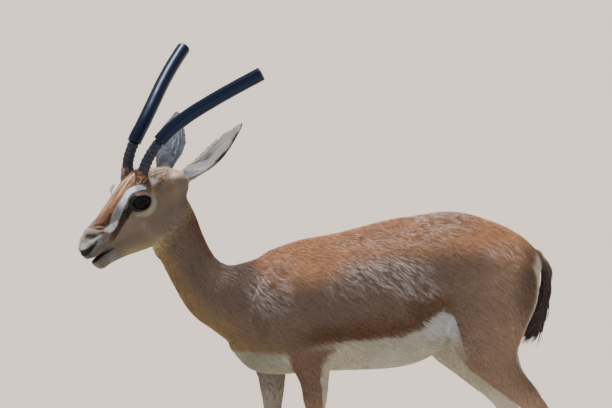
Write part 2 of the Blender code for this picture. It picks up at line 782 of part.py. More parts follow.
def eye_axes(side):
    """The eye's centre, the way it faces, and the long and the short way of its opening."""
    centre = Vector(mirrored(EYE_AT, side))
    facing = Vector(mirrored(EYE_FACES, side)).normalized()
    ahead = Vector(EYE_AHEAD)
    ahead = (ahead - facing * ahead.dot(facing)).normalized()
    return centre, facing, ahead, facing.cross(ahead) * side


def eye_oval(side, count, grow, lift):
    """Points of an oval round the eye's opening, which lie on the eyeball raised by the lift."""
    centre, facing, ahead, up = eye_axes(side)
    long, high = EYE_OPENING
    points = []
    for angle in np.linspace(0, 2 * math.pi, count, endpoint=False):
        x, y = (long + grow) * math.cos(angle), (high + grow) * math.sin(angle)
        reach = math.sqrt(max(4.0, (EYE_RADIUS + lift) ** 2 - x * x - y * y))
        points.append(centre + ahead * x + up * y + facing * reach)
    return points


def lid_ring(side):
    """The eyelids: a soft ring that lies on the eyeball round its opening."""
    _, facing, _, _ = eye_axes(side)
    path = eye_oval(side, 28, 1.5, 0.8)
    around, count = 8, len(path)
    rings = []
    for i, point in enumerate(path):
        tangent = (path[(i + 1) % count] - path[i - 1]).normalized()
        out = tangent.cross(facing).normalized()
        ring = []
        for angle in np.linspace(0, 2 * math.pi, around, endpoint=False):
            offset = out * math.cos(angle) + out.cross(tangent) * math.sin(angle)
            ring.append(HEAD @ ((point + offset * LID_RADIUS) * MM))
        rings.append(ring)
    return face_out(add_object("lid_ring", *looped_rings(rings)))


def eye_window(side):
    """The cutter that opens the lids over the eyeball."""
    _, facing, _, _ = eye_axes(side)
    near = [p - facing * 9 for p in eye_oval(side, 20, 0.0, 0.0)]
    far = [p + facing * 22 for p in eye_oval(side, 20, 3.0, 4.0)]
    rings = [[HEAD @ (p * MM) for p in ring] for ring in (near, far)]
    return face_out(add_object("eye_window", *skin_rings(rings)))


def make_head(finish):
    forms = head_pieces() + [outline_loft("neck_form", NECK)]
    head = fuse_soft("head", forms, voxel=2.2, rounds=16, triangles=16000)
    lids = [lid_ring(side) for side in (LEFT, RIGHT)]
    head = fuse_soft("head", [head] + lids, voxel=1.7, rounds=5, triangles=2200)
    point, forward = parting(NAPE, THROAT)
    cut_plane(head, point + forward * GAP / 2, forward)
    cutters = [mouth_cutter()]
    for side in (LEFT, RIGHT):
        cutters.append(nostril_cutter(side))
        cutters.append(eye_window(side))
        cutters.append(ball("socket", mirrored(EYE_AT, side), [EYE_RADIUS + SOCKET_GAP] * 3))
        base, along = horn_plane(side)
        cutters.append(plate("horn_cut", base, along, SEAT_RADIUS, SEAT_THICKNESS))
        root, out = Vector(mirrored(EAR_ROOT, side)), Vector(EAR_TIPS[side]).normalized()
        seat = root - out * GAP / MM
        cutters.append(plate("ear_cut", seat, out, SEAT_RADIUS, SEAT_THICKNESS))
    combine(head, cutters, "DIFFERENCE")
    head.data.materials.clear()
    head.data.materials.append(finish)
    return keep_largest(head)


def make_body(finish):
    """Trunk, neck and legs modelled whole, then parted with thin cuts."""
    forms = [outline_loft("trunk", TRUNK), outline_loft("neck_form", NECK)]
    for side in (LEFT, RIGHT):
        forms.append(outline_loft("fore_limb", limb_rows(FORE_LIMB, side, FORE_STRIDE), 3, 20))
        forms.append(outline_loft("hind_limb", limb_rows(HIND_LIMB, side, HIND_STRIDE), 3, 20))
    stalk = [tail_line(s)[0] for s in TAIL_STALK]
    forms.append(sweep("tail_stalk", stalk, STALK_RADII, 16, Matrix.Identity(4), None, (0, 1, 0)))
    whole = fuse_soft("whole", forms, voxel=3.0, rounds=14, triangles=5000, firm_below=(230, 400))

    head_point, head_forward = parting(NAPE, THROAT)
    chest_point, chest_forward = parting(WITHERS, BREAST)
    neck = copy_of(whole, "neck")
    cut_plane(neck, head_point - head_forward * GAP / 2, -head_forward)
    cut_plane(neck, chest_point + chest_forward * GAP / 2, chest_forward)
    torso = copy_of(whole, "torso")
    cut_plane(torso, chest_point - chest_forward * GAP / 2, -chest_forward)
    legs = []
    rooms = []
    for fore in (True, False):
        for side in (LEFT, RIGHT):
            name = f"leg_{'front' if fore else 'hind'}_{'left' if side == LEFT else 'right'}"
            leg = combine(copy_of(whole, name), [leg_block(fore, side, -GAP / MM / 2)], "INTERSECT")
            cut_plane(leg, Vector((0, 0, LEG_END)) * MM, Vector((0, 0, 1)))
            legs.append(keep_largest(leg))
            rooms.append(leg_block(fore, side, GAP / MM / 2))
    combine(torso, rooms, "DIFFERENCE")
    tail_point, tail_along = tail_line(TAIL_PARTING)
    combine(torso, [plate("tail_cut", tail_point, tail_along, 16, 26, Matrix.Identity(4))], "DIFFERENCE")
    bpy.data.objects.remove(whole)
    for part in (neck, torso, *legs):
        keep_largest(part)
        part.data.materials.clear()
        part.data.materials.append(finish)


def make_hooves(finish):
    """Two claws under each leg, level with the ground."""
    for fore in (True, False):
        for side in (LEFT, RIGHT):
            shift = stride_of(fore, side)
            toe, heel, place = FORE_HOOF if fore else HIND_HOOF
            for outer in (True, False):
                turn = -side if outer else side
                name = (
                    f"hoof_{'front' if fore else 'hind'}_{'left' if side == LEFT else 'right'}"
                    f"_{'outer' if outer else 'inner'}"
                )
                inside = -side * place + turn * CLAW_APART
                make_claw(name, toe + shift, heel + shift, inside, inside + turn * CLAW_WIDTH, finish)


def centre_model():
    """Moves everything so that the origin is under the middle of the model, at the ground."""
    solids = [o for o in bpy.context.scene.objects if o.type == "MESH"]
    points = np.array([v.co[:] for o in solids for v in o.data.vertices])
    middle = (points.min(axis=0) + points.max(axis=0)) / 2
    for solid in solids:
        solid.data.transform(Matrix.Translation((-middle[0], -middle[1], -points[:, 2].min())))


def main():
    clear_scene()
    coat = material("short_fur", (0.42, 0.22, 0.11), 0.85)
    dark = material("dark_horn", (0.035, 0.03, 0.03), 0.55)
    rubber = material("hose_rubber", (0.02, 0.025, 0.035), 0.45)
    wet = material("eye", (0.01, 0.008, 0.006), 0.08)
    ear_fur = material("ear_fur", (0.55, 0.48, 0.42), 0.85)
    tail_hair = material("tail_hair", (0.025, 0.015, 0.012), 0.6)
    make_body(coat)
    make_head(coat)
    for side, word in ((LEFT, "left"), (RIGHT, "right")):
        eye = ball(f"eye_{word}", mirrored(EYE_AT, side), [EYE_RADIUS] * 3, 16, 10)
        eye.data.materials.append(wet)
        make_horn(side, f"horn_{word}", dark)
        make_sleeve(side, f"horn_sleeve_{word}", rubber)
        make_ear(side, f"ear_{word}", ear_fur)
    make_hooves(dark)
    make_tail(tail_hair)
    centre_model()


main()
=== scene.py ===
import math

import bmesh
import bpy
import numpy as np
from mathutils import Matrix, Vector


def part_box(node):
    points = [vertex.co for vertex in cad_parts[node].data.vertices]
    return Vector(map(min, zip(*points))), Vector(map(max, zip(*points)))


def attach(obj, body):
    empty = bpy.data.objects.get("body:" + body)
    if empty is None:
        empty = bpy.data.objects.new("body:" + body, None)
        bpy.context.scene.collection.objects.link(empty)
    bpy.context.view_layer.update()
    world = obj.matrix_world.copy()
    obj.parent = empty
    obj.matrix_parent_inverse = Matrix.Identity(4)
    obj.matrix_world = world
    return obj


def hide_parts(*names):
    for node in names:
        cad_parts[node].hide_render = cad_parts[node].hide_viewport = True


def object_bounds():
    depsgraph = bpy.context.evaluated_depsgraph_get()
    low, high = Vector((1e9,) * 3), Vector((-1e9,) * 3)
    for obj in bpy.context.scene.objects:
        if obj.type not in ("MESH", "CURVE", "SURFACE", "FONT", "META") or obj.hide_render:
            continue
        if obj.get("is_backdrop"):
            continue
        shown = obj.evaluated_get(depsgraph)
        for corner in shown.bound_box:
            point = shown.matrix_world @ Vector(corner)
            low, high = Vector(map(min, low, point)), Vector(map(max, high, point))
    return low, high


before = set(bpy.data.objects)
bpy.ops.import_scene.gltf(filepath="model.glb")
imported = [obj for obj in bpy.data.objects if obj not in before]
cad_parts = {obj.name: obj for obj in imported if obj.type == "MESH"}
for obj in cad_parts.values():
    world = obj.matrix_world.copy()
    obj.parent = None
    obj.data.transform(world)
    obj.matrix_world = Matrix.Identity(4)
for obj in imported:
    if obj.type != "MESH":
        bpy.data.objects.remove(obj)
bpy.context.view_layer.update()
print("frame loaded")

# The forms below are drawn in millimetres in one drawing frame: X rearward, Y to the animal's
# right, Z up from the ground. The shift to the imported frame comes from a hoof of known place.
mm = 0.001
left, right = 1, -1
hoofLow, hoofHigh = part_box("hoof_front_left_inner")
knownToe, knownInner = -0.074, -0.037
shift = np.array([hoofLow.x - knownToe, hoofHigh.y - knownInner, 0.0])


def linear(hexColour):
    # sRGB hex to linear: each channel c becomes ((c + 0.055) / 1.055) to the power 2.4
    c = np.array([int(hexColour[i:i + 2], 16) / 255 for i in (1, 3, 5)])
    return np.where(c <= 0.04045, c / 12.92, ((c + 0.055) / 1.055) ** 2.4)


def ease(value, low, high):
    # 0 below low, 1 above high, and the smooth cubic 3t^2 - 2t^3 between them
    t = np.clip((value - low) / (high - low), 0, 1)
    return t * t * (3 - 2 * t)


def unit(vectors):
    # each vector over its own length
    return vectors / np.maximum(np.linalg.norm(vectors, axis=-1, keepdims=True), 1e-9)


def turnAbout(axis, degrees):
    # the 3 x 3 turn about X, Y or Z by the right-hand rule
    c, s = math.cos(math.radians(degrees)), math.sin(math.radians(degrees))
    i, j = {"X": (1, 2), "Y": (2, 0), "Z": (0, 1)}[axis]
    made = np.eye(3)
    made[i, i], made[j, j], made[i, j], made[j, i] = c, c, -s, s
    return made


head = {"at": (-370, -60, 677.5), "yaw": 28, "pitch": 37, "roll": 8}
headAt = np.array(head["at"], float)
headTurn = (
    turnAbout("Z", head["yaw"]) @ turnAbout("Y", -head["pitch"]) @ turnAbout("X", head["roll"])
    @ np.diag([-1.0, -1.0, 1.0])
)


def fromHead(points):
    # head frame (forward, left, up) to the drawing frame
    return np.asarray(points, float) @ headTurn.T + headAt


def toHead(points):
    # the drawing frame to the head frame
    return (points - headAt) @ headTurn


def mirrored(points, side):
    # the head's left side on the side asked for
    return np.asarray(points, float) * np.array([1, side, 1])


def smoothRows(rows, steps):
    # a cubic through every row, whose slope there is the central difference of its neighbours
    rows = np.array(rows, float)
    reach = np.linalg.norm(np.diff(rows[:, :3], axis=0), axis=1)
    at = np.concatenate([[0], np.cumsum(reach)])
    slope = np.gradient(rows, at, axis=0)
    t = np.linspace(0, 1, steps, endpoint=False)[None, :, None]
    span = np.diff(at)[:, None, None]
    made = (
        (2 * t**3 - 3 * t**2 + 1) * rows[:-1, None] + (t**3 - 2 * t**2 + t) * span * slope[:-1, None]
        + (3 * t**2 - 2 * t**3) * rows[1:, None] + (t**3 - t**2) * span * slope[1:, None]
    )
    return np.concatenate([made.reshape(-1, rows.shape[1]), rows[-1:]])


def evenPath(path, shares):
    # the smooth curve through the path's points, read at shares of its length
    rows = smoothRows(path, 12)
    reach = np.concatenate([[0], np.cumsum(np.linalg.norm(np.diff(rows[:, :3], axis=0), axis=1))])
    at = np.asarray(shares) * reach[-1]
    return np.stack([np.interp(at, reach, rows[:, i]) for i in range(rows.shape[1])], axis=1)


def closedTube(grid, fromTip=None, toTip=None):
    # rows of rings become quads, and each end closes with a fan to its middle or tip
    rows, around = grid.shape[:2]
    i, j = np.arange(rows - 1)[:, None] * around, np.arange(around)[None, :]
    k = (j + 1) % around
    quads = np.stack([i + j, i + k, i + around + k, i + around + j], -1).reshape(-1, 4)
    first = grid[0].mean(0) if fromTip is None else np.asarray(fromTip, float)
    last = grid[-1].mean(0) if toTip is None else np.asarray(toTip, float)
    points = np.concatenate([grid.reshape(-1, 3), [first, last]])
    count, end, j, k = rows * around, (rows - 1) * around, j[0], k[0]
    tris = np.concatenate([
        np.stack([np.full(around, count), k, j], -1),
        np.stack([np.full(around, count + 1), end + j, end + k], -1),
    ])
    return outward(points, quads, tris)


def outward(points, quads, tris):
    # turns every face round if the closed shape's signed volume comes out negative
    corners = np.concatenate([quads[:, [0, 1, 2]], quads[:, [0, 2, 3]], tris])
    a, b, c = (points[corners[:, i]] - points.mean(0) for i in range(3))
    if np.einsum("ij,ij->i", a, np.cross(b, c)).sum() < 0:
        quads, tris = quads[:, ::-1], tris[:, ::-1]
    return points, quads, tris


def joined(shapes):
    # several closed shapes as one set of points, quads and triangles
    points, quads, tris, count = [], [], [], 0
    for p, q, t in shapes:
        points.append(p)
        quads.append(q + count)
        tris.append(t + count)
        count += len(p)
    return np.concatenate(points), np.concatenate(quads), np.concatenate(tris)


def putMesh(name, points, quads, tris):
    # whole index arrays straight into the mesh, quads first, points from millimetres
    index = np.concatenate([quads.ravel(), tris.ravel()]).astype(np.int32)
    counts = np.concatenate([np.full(len(quads), 4), np.full(len(tris), 3)])
    starts = np.concatenate([[0], np.cumsum(counts)[:-1]]).astype(np.int32)
    mesh = bpy.data.meshes.new(name)
    mesh.vertices.add(len(points))
    mesh.vertices.foreach_set("co", (points * mm + shift).astype(np.float32).ravel())
    mesh.loops.add(len(index))
    mesh.loops.foreach_set("vertex_index", index)
    mesh.polygons.add(len(counts))
    mesh.polygons.foreach_set("loop_start", starts)
    mesh.update(calc_edges=True)
    mesh.shade_smooth()
    made = bpy.data.objects.new(name, mesh)
    bpy.context.scene.collection.objects.link(made)
    return made


def drawnPoints(mesh):
    # a mesh's points, back in the drawing frame's millimetres
    made = np.empty(len(mesh.vertices) * 3, np.float32)
    mesh.vertices.foreach_get("co", made)
    return (made.reshape(-1, 3).astype(float) - shift) / mm


def triangleCorners(mesh):
    mesh.calc_loop_triangles()
    made = np.empty(len(mesh.loop_triangles) * 3, np.int32)
    mesh.loop_triangles.foreach_get("vertices", made)
    return made.reshape(-1, 3)


def pointNormals(points, tris):
    # the area-weighted mean of the normals of the faces round each point
    a, b, c = (points[tris[:, i]] for i in range(3))
    across = np.cross(b - a, c - a)
    total = np.stack([
        sum(np.bincount(tris[:, i], across[:, k], len(points)) for i in range(3)) for k in range(3)
    ], axis=1)
    return unit(total)


def settle(obj):
    # what the modifiers make becomes the object's own mesh
    bpy.context.view_layer.update()
    done = bpy.data.meshes.new_from_object(obj.evaluated_get(bpy.context.evaluated_depsgraph_get()))
    obj.modifiers.clear()
    obj.data = done
    return obj


def paint(obj, colours):
    # linear colours, one for each point, kept on the mesh for its material
    layer = obj.data.color_attributes.new("furTint", "FLOAT_COLOR", "POINT")
    full = np.concatenate([np.clip(colours, 0, 1), np.ones((len(colours), 1))], axis=1)
    layer.data.foreach_set("color", full.astype(np.float32).ravel())


def addNode(tree, kind, settings=None, links=None):
    # one node with its values set, each input in links joined to another node's output
    made = tree.nodes.new(kind)
    for key, value in (settings or {}).items():
        if key in made.inputs:
            made.inputs[key].default_value = value
        else:
            setattr(made, key, value)
    for key, source in (links or {}).items():
        tree.links.new(source, made.inputs[key])
    return made


def newMaterial(name, settings):
    # a Principled material with its constant values set on the shader itself
    made = bpy.data.materials.new(name)
    made.use_nodes = True
    shader = made.node_tree.nodes["Principled BSDF"]
    for key, value in settings.items():
        shader.inputs[key].default_value = value
    return made, made.node_tree, shader


def rgba(hexColour):
    # the linear colour with full alpha, for a socket
    return (*linear(hexColour), 1.0)


def finished(obj, material, nodes=()):
    # every piece rides on the one body, and the imported parts that it stands for are hidden
    obj.data.materials.clear()
    obj.data.materials.append(material)
    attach(obj, "root")
    if nodes:
        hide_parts(*nodes)
    return obj


# Body outlines: upper or front point (x, z), lower or back point (x, z), half width, a bias that
# widens the slice above its middle, and its sideways place.
body = {
    "trunk": [
        (-189, 462, -189, 400, 30, 0.0),
        (-174, 503, -174, 379, 48, 0.0),
        (-152, 544, -152, 357, 58, -0.02),
        (-126, 568, -126, 347, 66, -0.05),
        (-92, 584, -92, 345, 73, -0.08),
        (-55, 596, -55, 347, 80, -0.10),
        (0, 606, 0, 351, 89, -0.14),
        (56, 620, 56, 353, 96, -0.17),
        (111, 634, 111, 356, 98, -0.16),
        (157, 641, 157, 365, 96, -0.10),
        (204, 648, 204, 388, 91, -0.02),
        (240, 647, 240, 414, 87, 0.06),
        (287, 635, 287, 444, 81, 0.10),
        (329, 618, 329, 462, 72, 0.08),
        (361, 598, 361, 475, 58, 0.05),
        (381, 577, 381, 492, 40, 0.0),
        (389, 560, 389, 508, 20, 0.0),
    ],
    "neck": [
        (-288, 706, -348, 630, 22, 0.05, -18),
        (-264, 677, -334, 600, 28, 0.05, -14),
        (-250, 649, -326, 573, 30, 0.05, -10),
        (-237, 614, -314, 557, 31, 0.0, -7),
        (-224, 584, -300, 530, 33, 0.0, -4),
        (-207, 559, -285, 501, 37, 0.0, -2),
        (-187, 549, -270, 475, 42, -0.05, 0),
        (-161, 553, -250, 451, 48, -0.08, 0),
        (-133, 562, -222, 430, 54, -0.10, 0),
        (-102, 576, -192, 407, 60, -0.12, 0),
        (-74, 580, -161, 375, 62, -0.15, 0),
    ],
    "foreLimb": [
        (-98, 566, -44, 572, 8, 36),
        (-128, 536, -28, 543, 20, 41),
        (-148, 503, -22, 512, 28, 47),
        (-158, 457, -14, 462, 34, 47),
        (-141, 420, -3, 430, 35, 46),
        (-102, 389, 6, 398, 31, 48),
        (-72, 363, 3, 370, 25, 51),
        (-57, 337, -1, 340, 20, 53),
        (-50, 303, -4, 303, 17, 54),
        (-44, 263, -9, 263, 14, 54),
        (-41, 226, -13, 226, 12.5, 53),
        (-42, 203, -12, 203, 14.5, 53),
        (-41, 185, -11, 185, 14, 53),
        (-38, 163, -17, 163, 10.5, 53),
        (-37, 115, -19, 115, 9, 52),
        (-37, 70, -18, 69, 10, 52),
        (-40, 52, -17, 51, 12.5, 52),
        (-47, 36, -26, 34, 11.5, 52),
        (-53, 24, -30, 23, 13, 52),
        (-55, 14, -32, 13, 12, 52),
    ],
    "hindLimb": [
        (244, 596, 334, 604, 12, 36),
        (224, 562, 362, 574, 28, 42),
        (212, 512, 384, 530, 39, 48),
        (214, 462, 381, 484, 42, 53),
        (218, 424, 361, 434, 39, 57),
        (231, 394, 349, 402, 33, 60),
        (250, 367, 350, 381, 28, 61),
        (276, 347, 355, 364, 25, 62),
        (303, 327, 366, 347, 21, 62),
        (329, 307, 379, 330, 18, 62),
        (350, 289, 391, 313, 15.5, 61),
        (366, 272, 403, 296, 14, 61),
        (377, 255, 412, 277, 14.5, 60),
        (383, 239, 412, 247, 14.5, 60),
        (385, 216, 409, 217, 11.5, 59),
        (384, 180, 404, 180, 9.5, 58),
        (381, 115, 400, 115, 9, 57),
        (378, 70, 398, 69, 10.5, 56),
        (375, 52, 398, 51, 12.5, 56),
        (368, 37, 389, 36, 11.5, 56),
        (361, 25, 384, 24, 13, 56),
        (359, 14, 382, 13, 12, 56),
    ],
    "foreStride": (470, 372, -80),
    "hindStride": (560, 400, -56),
    "coatDepth": 2.2,
}
# Head outlines: forward place, top, bottom, half width and bias.
face = {
    "skull": [
        (-113, -26, -60, 16, 0.0),
        (-101, -9, -70, 27, 0.0),
        (-85, 6, -76, 34, 0.05),
        (-65, 20, -78, 37, 0.10),
        (-45, 29, -76, 38, 0.15),
        (-25, 33, -72, 38, 0.18),
        (-5, 31, -66, 36, 0.20),
        (15, 26, -62, 33, 0.16),
        (32, 23, -57, 28, 0.08),
        (52, 19, -52, 23, 0.0),
        (70, 14, -48, 20, -0.05),
        (88, 11, -42, 18.5, -0.05),
        (104, 10, -40, 19, 0.0),
        (117, 3, -39.5, 17.5, 0.0),
        (127, -4, -38.5, 14, 0.05),
        (133, -11, -34, 8, 0.0),
    ],
    "jaw": [
        (-62, -58, -98, 20, 0.0),
        (-40, -50, -110, 25, 0.1),
        (-15, -48, -112, 24, 0.15),
        (15, -45, -107, 20, 0.15),
        (40, -44, -97, 16, 0.1),
        (60, -42, -88, 13.5, 0.0),
        (85, -43, -79, 12.5, 0.0),
        (100, -44, -75, 13, 0.0),
        (111, -45, -73, 13, 0.0),
        (120, -46, -66, 11, 0.0),
        (126, -47, -57, 6, 0.0),
    ],
    # centre and radii of the swellings on one side
    "swellings": [
        ((-9, 30, 5), (27, 15, 19)),
        ((6, 30, -11), (30, 13, 17)),
        ((-10, 29, -3), (30, 17, 23)),
        ((-30, 21, -60), (42, 15, 38)),
        ((108.5, 12, -9), (15.5, 7, 9)),
        ((108, 11, -30), (22, 8.5, 9.5)),
        ((113, 4, -60), (11, 9, 12)),
    ],
    "hornCore": (-24, 22, 4), "pedicle": (24, 18, 13.2, 13.2), "pedicleEnd": {left: 0.44, right: 0.20},
    "earRoot": (-105, 39, -22), "earStalk": (20, 17, 14.0),
}
eye = {
    "at": (-6, 31.5, -1), "radius": 19.2, "faces": (0.22, 1.0, 0.10), "ahead": (1, 0, 0.6),
    "opening": (16.8, 12.6), "lid": 3.2,
}
ear = {
    "tips": {left: (-116, 86, 51), right: (-116, -96, 18)},
    "opens": {left: (0.137, 0.06, 0.989), right: (-0.3, 0.5, 0.8)},
    "halfWidth": 27.0, "depth": 13.0, "wall": 2.6, "bow": 6.0, "spread": 100,
}
horn = {
    "path": [
        (-35.5, 25.3, 29.5), (-48, 29.5, 42.5), (-80, 35.5, 61.5), (-119, 44, 74), (-161, 62.5, 81.5),
        (-208, 89, 86), (-252, 113.5, 87.5), (-299, 138, 87),
    ],
    "rootRadius": 9.3, "tipRadius": 4.0, "ringSpacing": 9.5, "ringHeight": 1.5, "end": 0.91,
}
sleeve = {"radius": 12.8, "from": {left: 0.249, right: 0.189}, "fit": 0.4}
tail = {
    "path": [(366, 573), (380, 570), (393, 556), (400, 530), (401, 506), (399, 478), (393, 450)],
    "core": (10.0, 8.6, 7.8, 7.0, 6.2, 5.4, 3.6),
}


rowSteps = 4  # rings from one outline row to the next


def slicedTube(rows, around=44):
    # an oval between two outline points: its long axis joins them, its width is along Y,
    # and the width grows by the bias with the sine of the angle
    rows = smoothRows([tuple(r) + (0,) * (7 - len(r)) for r in rows], rowSteps)
    angle = np.linspace(0, 2 * np.pi, around, endpoint=False)
    up, out = np.sin(angle), np.cos(angle)
    middle, reach = (rows[:, 0:2] + rows[:, 2:4]) / 2, (rows[:, 0:2] - rows[:, 2:4]) / 2
    xz = middle[:, None] + reach[:, None] * up[None, :, None]
    y = rows[:, 6, None] + rows[:, 4, None] * out * (1 + rows[:, 5, None] * up)
    return np.stack([xz[..., 0], y, xz[..., 1]], -1)


def limbRows(rows, side, stride):
    # each row with its sideways place, the far leg moved forward below its joint
    rows = np.array(rows, float)
    start, full, reach = stride
    move = ease(-(rows[:, 1] + rows[:, 3]) / 2, -start, -full) * (reach if side == right else 0)
    rows[:, 0] += move
    rows[:, 2] += move
    return [(*r[:5], 0.0, -side * r[5]) for r in rows]


def roundTube(path, radii, around=20, flatAxis=(0, 0, 1)):
    # circles along a path, each square to it: side = tangent x axis, up = side x tangent
    path = np.asarray(path, float)
    along = unit(np.gradient(path, axis=0))
    side = unit(np.cross(along, np.asarray(flatAxis, float)))
    up = np.cross(side, along)
    angle = np.linspace(0, 2 * np.pi, around, endpoint=False)
    ring = side[:, None] * np.cos(angle)[None, :, None] + up[:, None] * np.sin(angle)[None, :, None]
    return path[:, None] + ring * np.asarray(radii, float)[:, None, None]


def ellipsoid(centre, radii, around=28, rings=16):
    # latitude circles between the two poles, stretched to the radii
    lat = np.linspace(-np.pi / 2, np.pi / 2, rings + 2)[1:-1]
    lon = np.linspace(0, 2 * np.pi, around, endpoint=False)
    ball = np.stack([
        np.cos(lat)[:, None] * np.cos(lon), np.cos(lat)[:, None] * np.sin(lon),
        np.sin(lat)[:, None] * np.ones(around),
    ], -1)
    radii, centre = np.asarray(radii, float), np.asarray(centre, float)
    pole = np.array([0, 0, radii[2]])
    return ball * radii + centre, centre - pole, centre + pole


def eyeAxes(side):
    # the eye's centre, the way it faces, the long way of its opening and the short way
    centre = mirrored(eye["at"], side)
    facing = unit(mirrored(eye["faces"], side))
    ahead = np.array(eye["ahead"], float)
    ahead = unit(ahead - facing * (ahead @ facing))
    return centre, facing, ahead, np.cross(ahead, facing) * side


def eyeOval(side, angle, grow, lift):
    # points over the eyeball: x = (long + grow) cos, y = (high + grow) sin, on a sphere of the
    # eye's radius plus the lift
    centre, facing, ahead, up = eyeAxes(side)
    x = (eye["opening"][0] + grow) * np.cos(angle)
    y = (eye["opening"][1] + grow) * np.sin(angle)
    reach = np.sqrt(np.maximum(4.0, (eye["radius"] + lift) ** 2 - x * x - y * y))
    return centre + ahead * x[..., None] + up * y[..., None] + facing * reach[..., None]


def headForms():
    # the head's overlapping forms, still in the head's own frame, moved to the drawing frame
    forms = []
    for rows in (face["skull"], face["jaw"]):
        forms.append(closedTube(fromHead(slicedTube([(a, t, a, b, w, k) for a, t, b, w, k in rows]))))
    for side in (left, right):
        for centre, radii in face["swellings"]:
            grid, low, high = ellipsoid(mirrored(centre, side), radii)
            forms.append(closedTube(fromHead(grid), fromHead(low), fromHead(high)))
        start, end = (mirrored(p, side) for p in (face["hornCore"], horn["path"][0]))
        path = [start, start + (end - start) * 0.55, end, end + (end - start) * face["pedicleEnd"][side]]
        forms.append(closedTube(fromHead(roundTube(path, face["pedicle"]))))
        root, along = mirrored(face["earRoot"], side), unit(np.array(ear["tips"][side], float))
        path = [root - along * 30, root - along * 12, root + along * 6]
        forms.append(closedTube(fromHead(roundTube(path, face["earStalk"]))))
        angle = np.linspace(0, 2 * np.pi, 40, endpoint=False)
        ring = eyeOval(side, angle, 1.5, 0.8)
        along = unit(np.roll(ring, -1, axis=0) - np.roll(ring, 1, axis=0))
        out = unit(np.cross(along, eyeAxes(side)[1]))
        turn = np.linspace(0, 2 * np.pi, 12, endpoint=False)
        lid = ring[:, None] + eye["lid"] * (
            out[:, None] * np.cos(turn)[None, :, None]
            + np.cross(out, along)[:, None] * np.sin(turn)[None, :, None]
        )
        forms.append(closedRing(fromHead(lid)))
    return forms


def closedRing(grid):
    # a ring of rings, joined end to end, with no caps
    rows, around = grid.shape[:2]
    i, j = np.arange(rows)[:, None], np.arange(around)[None, :]
    n, k = (i + 1) % rows, (j + 1) % around
    quads = np.stack([i * around + j, i * around + k, n * around + k, n * around + j], -1).reshape(-1, 4)
    return outward(grid.reshape(-1, 3), quads, np.zeros((0, 3), int))


def lineDistance(points, line, widths):
    # the shortest distance to a bent line, and the width that the line has at that place
    line, widths = np.asarray(line, float), np.asarray(widths, float)
    best = np.full(len(points), 1e9)
    width = np.zeros(len(points))
    for i in range(len(line) - 1):
        a, step = line[i], line[i + 1] - line[i]
        t = np.clip((points - a) @ step / (step @ step), 0, 1)
        gap = np.linalg.norm(points - a - t[:, None] * step, axis=1)
        closer = gap < best
        best = np.where(closer, gap, best)
        width = np.where(closer, widths[i] + (widths[i + 1] - widths[i]) * t, width)
    return best, width


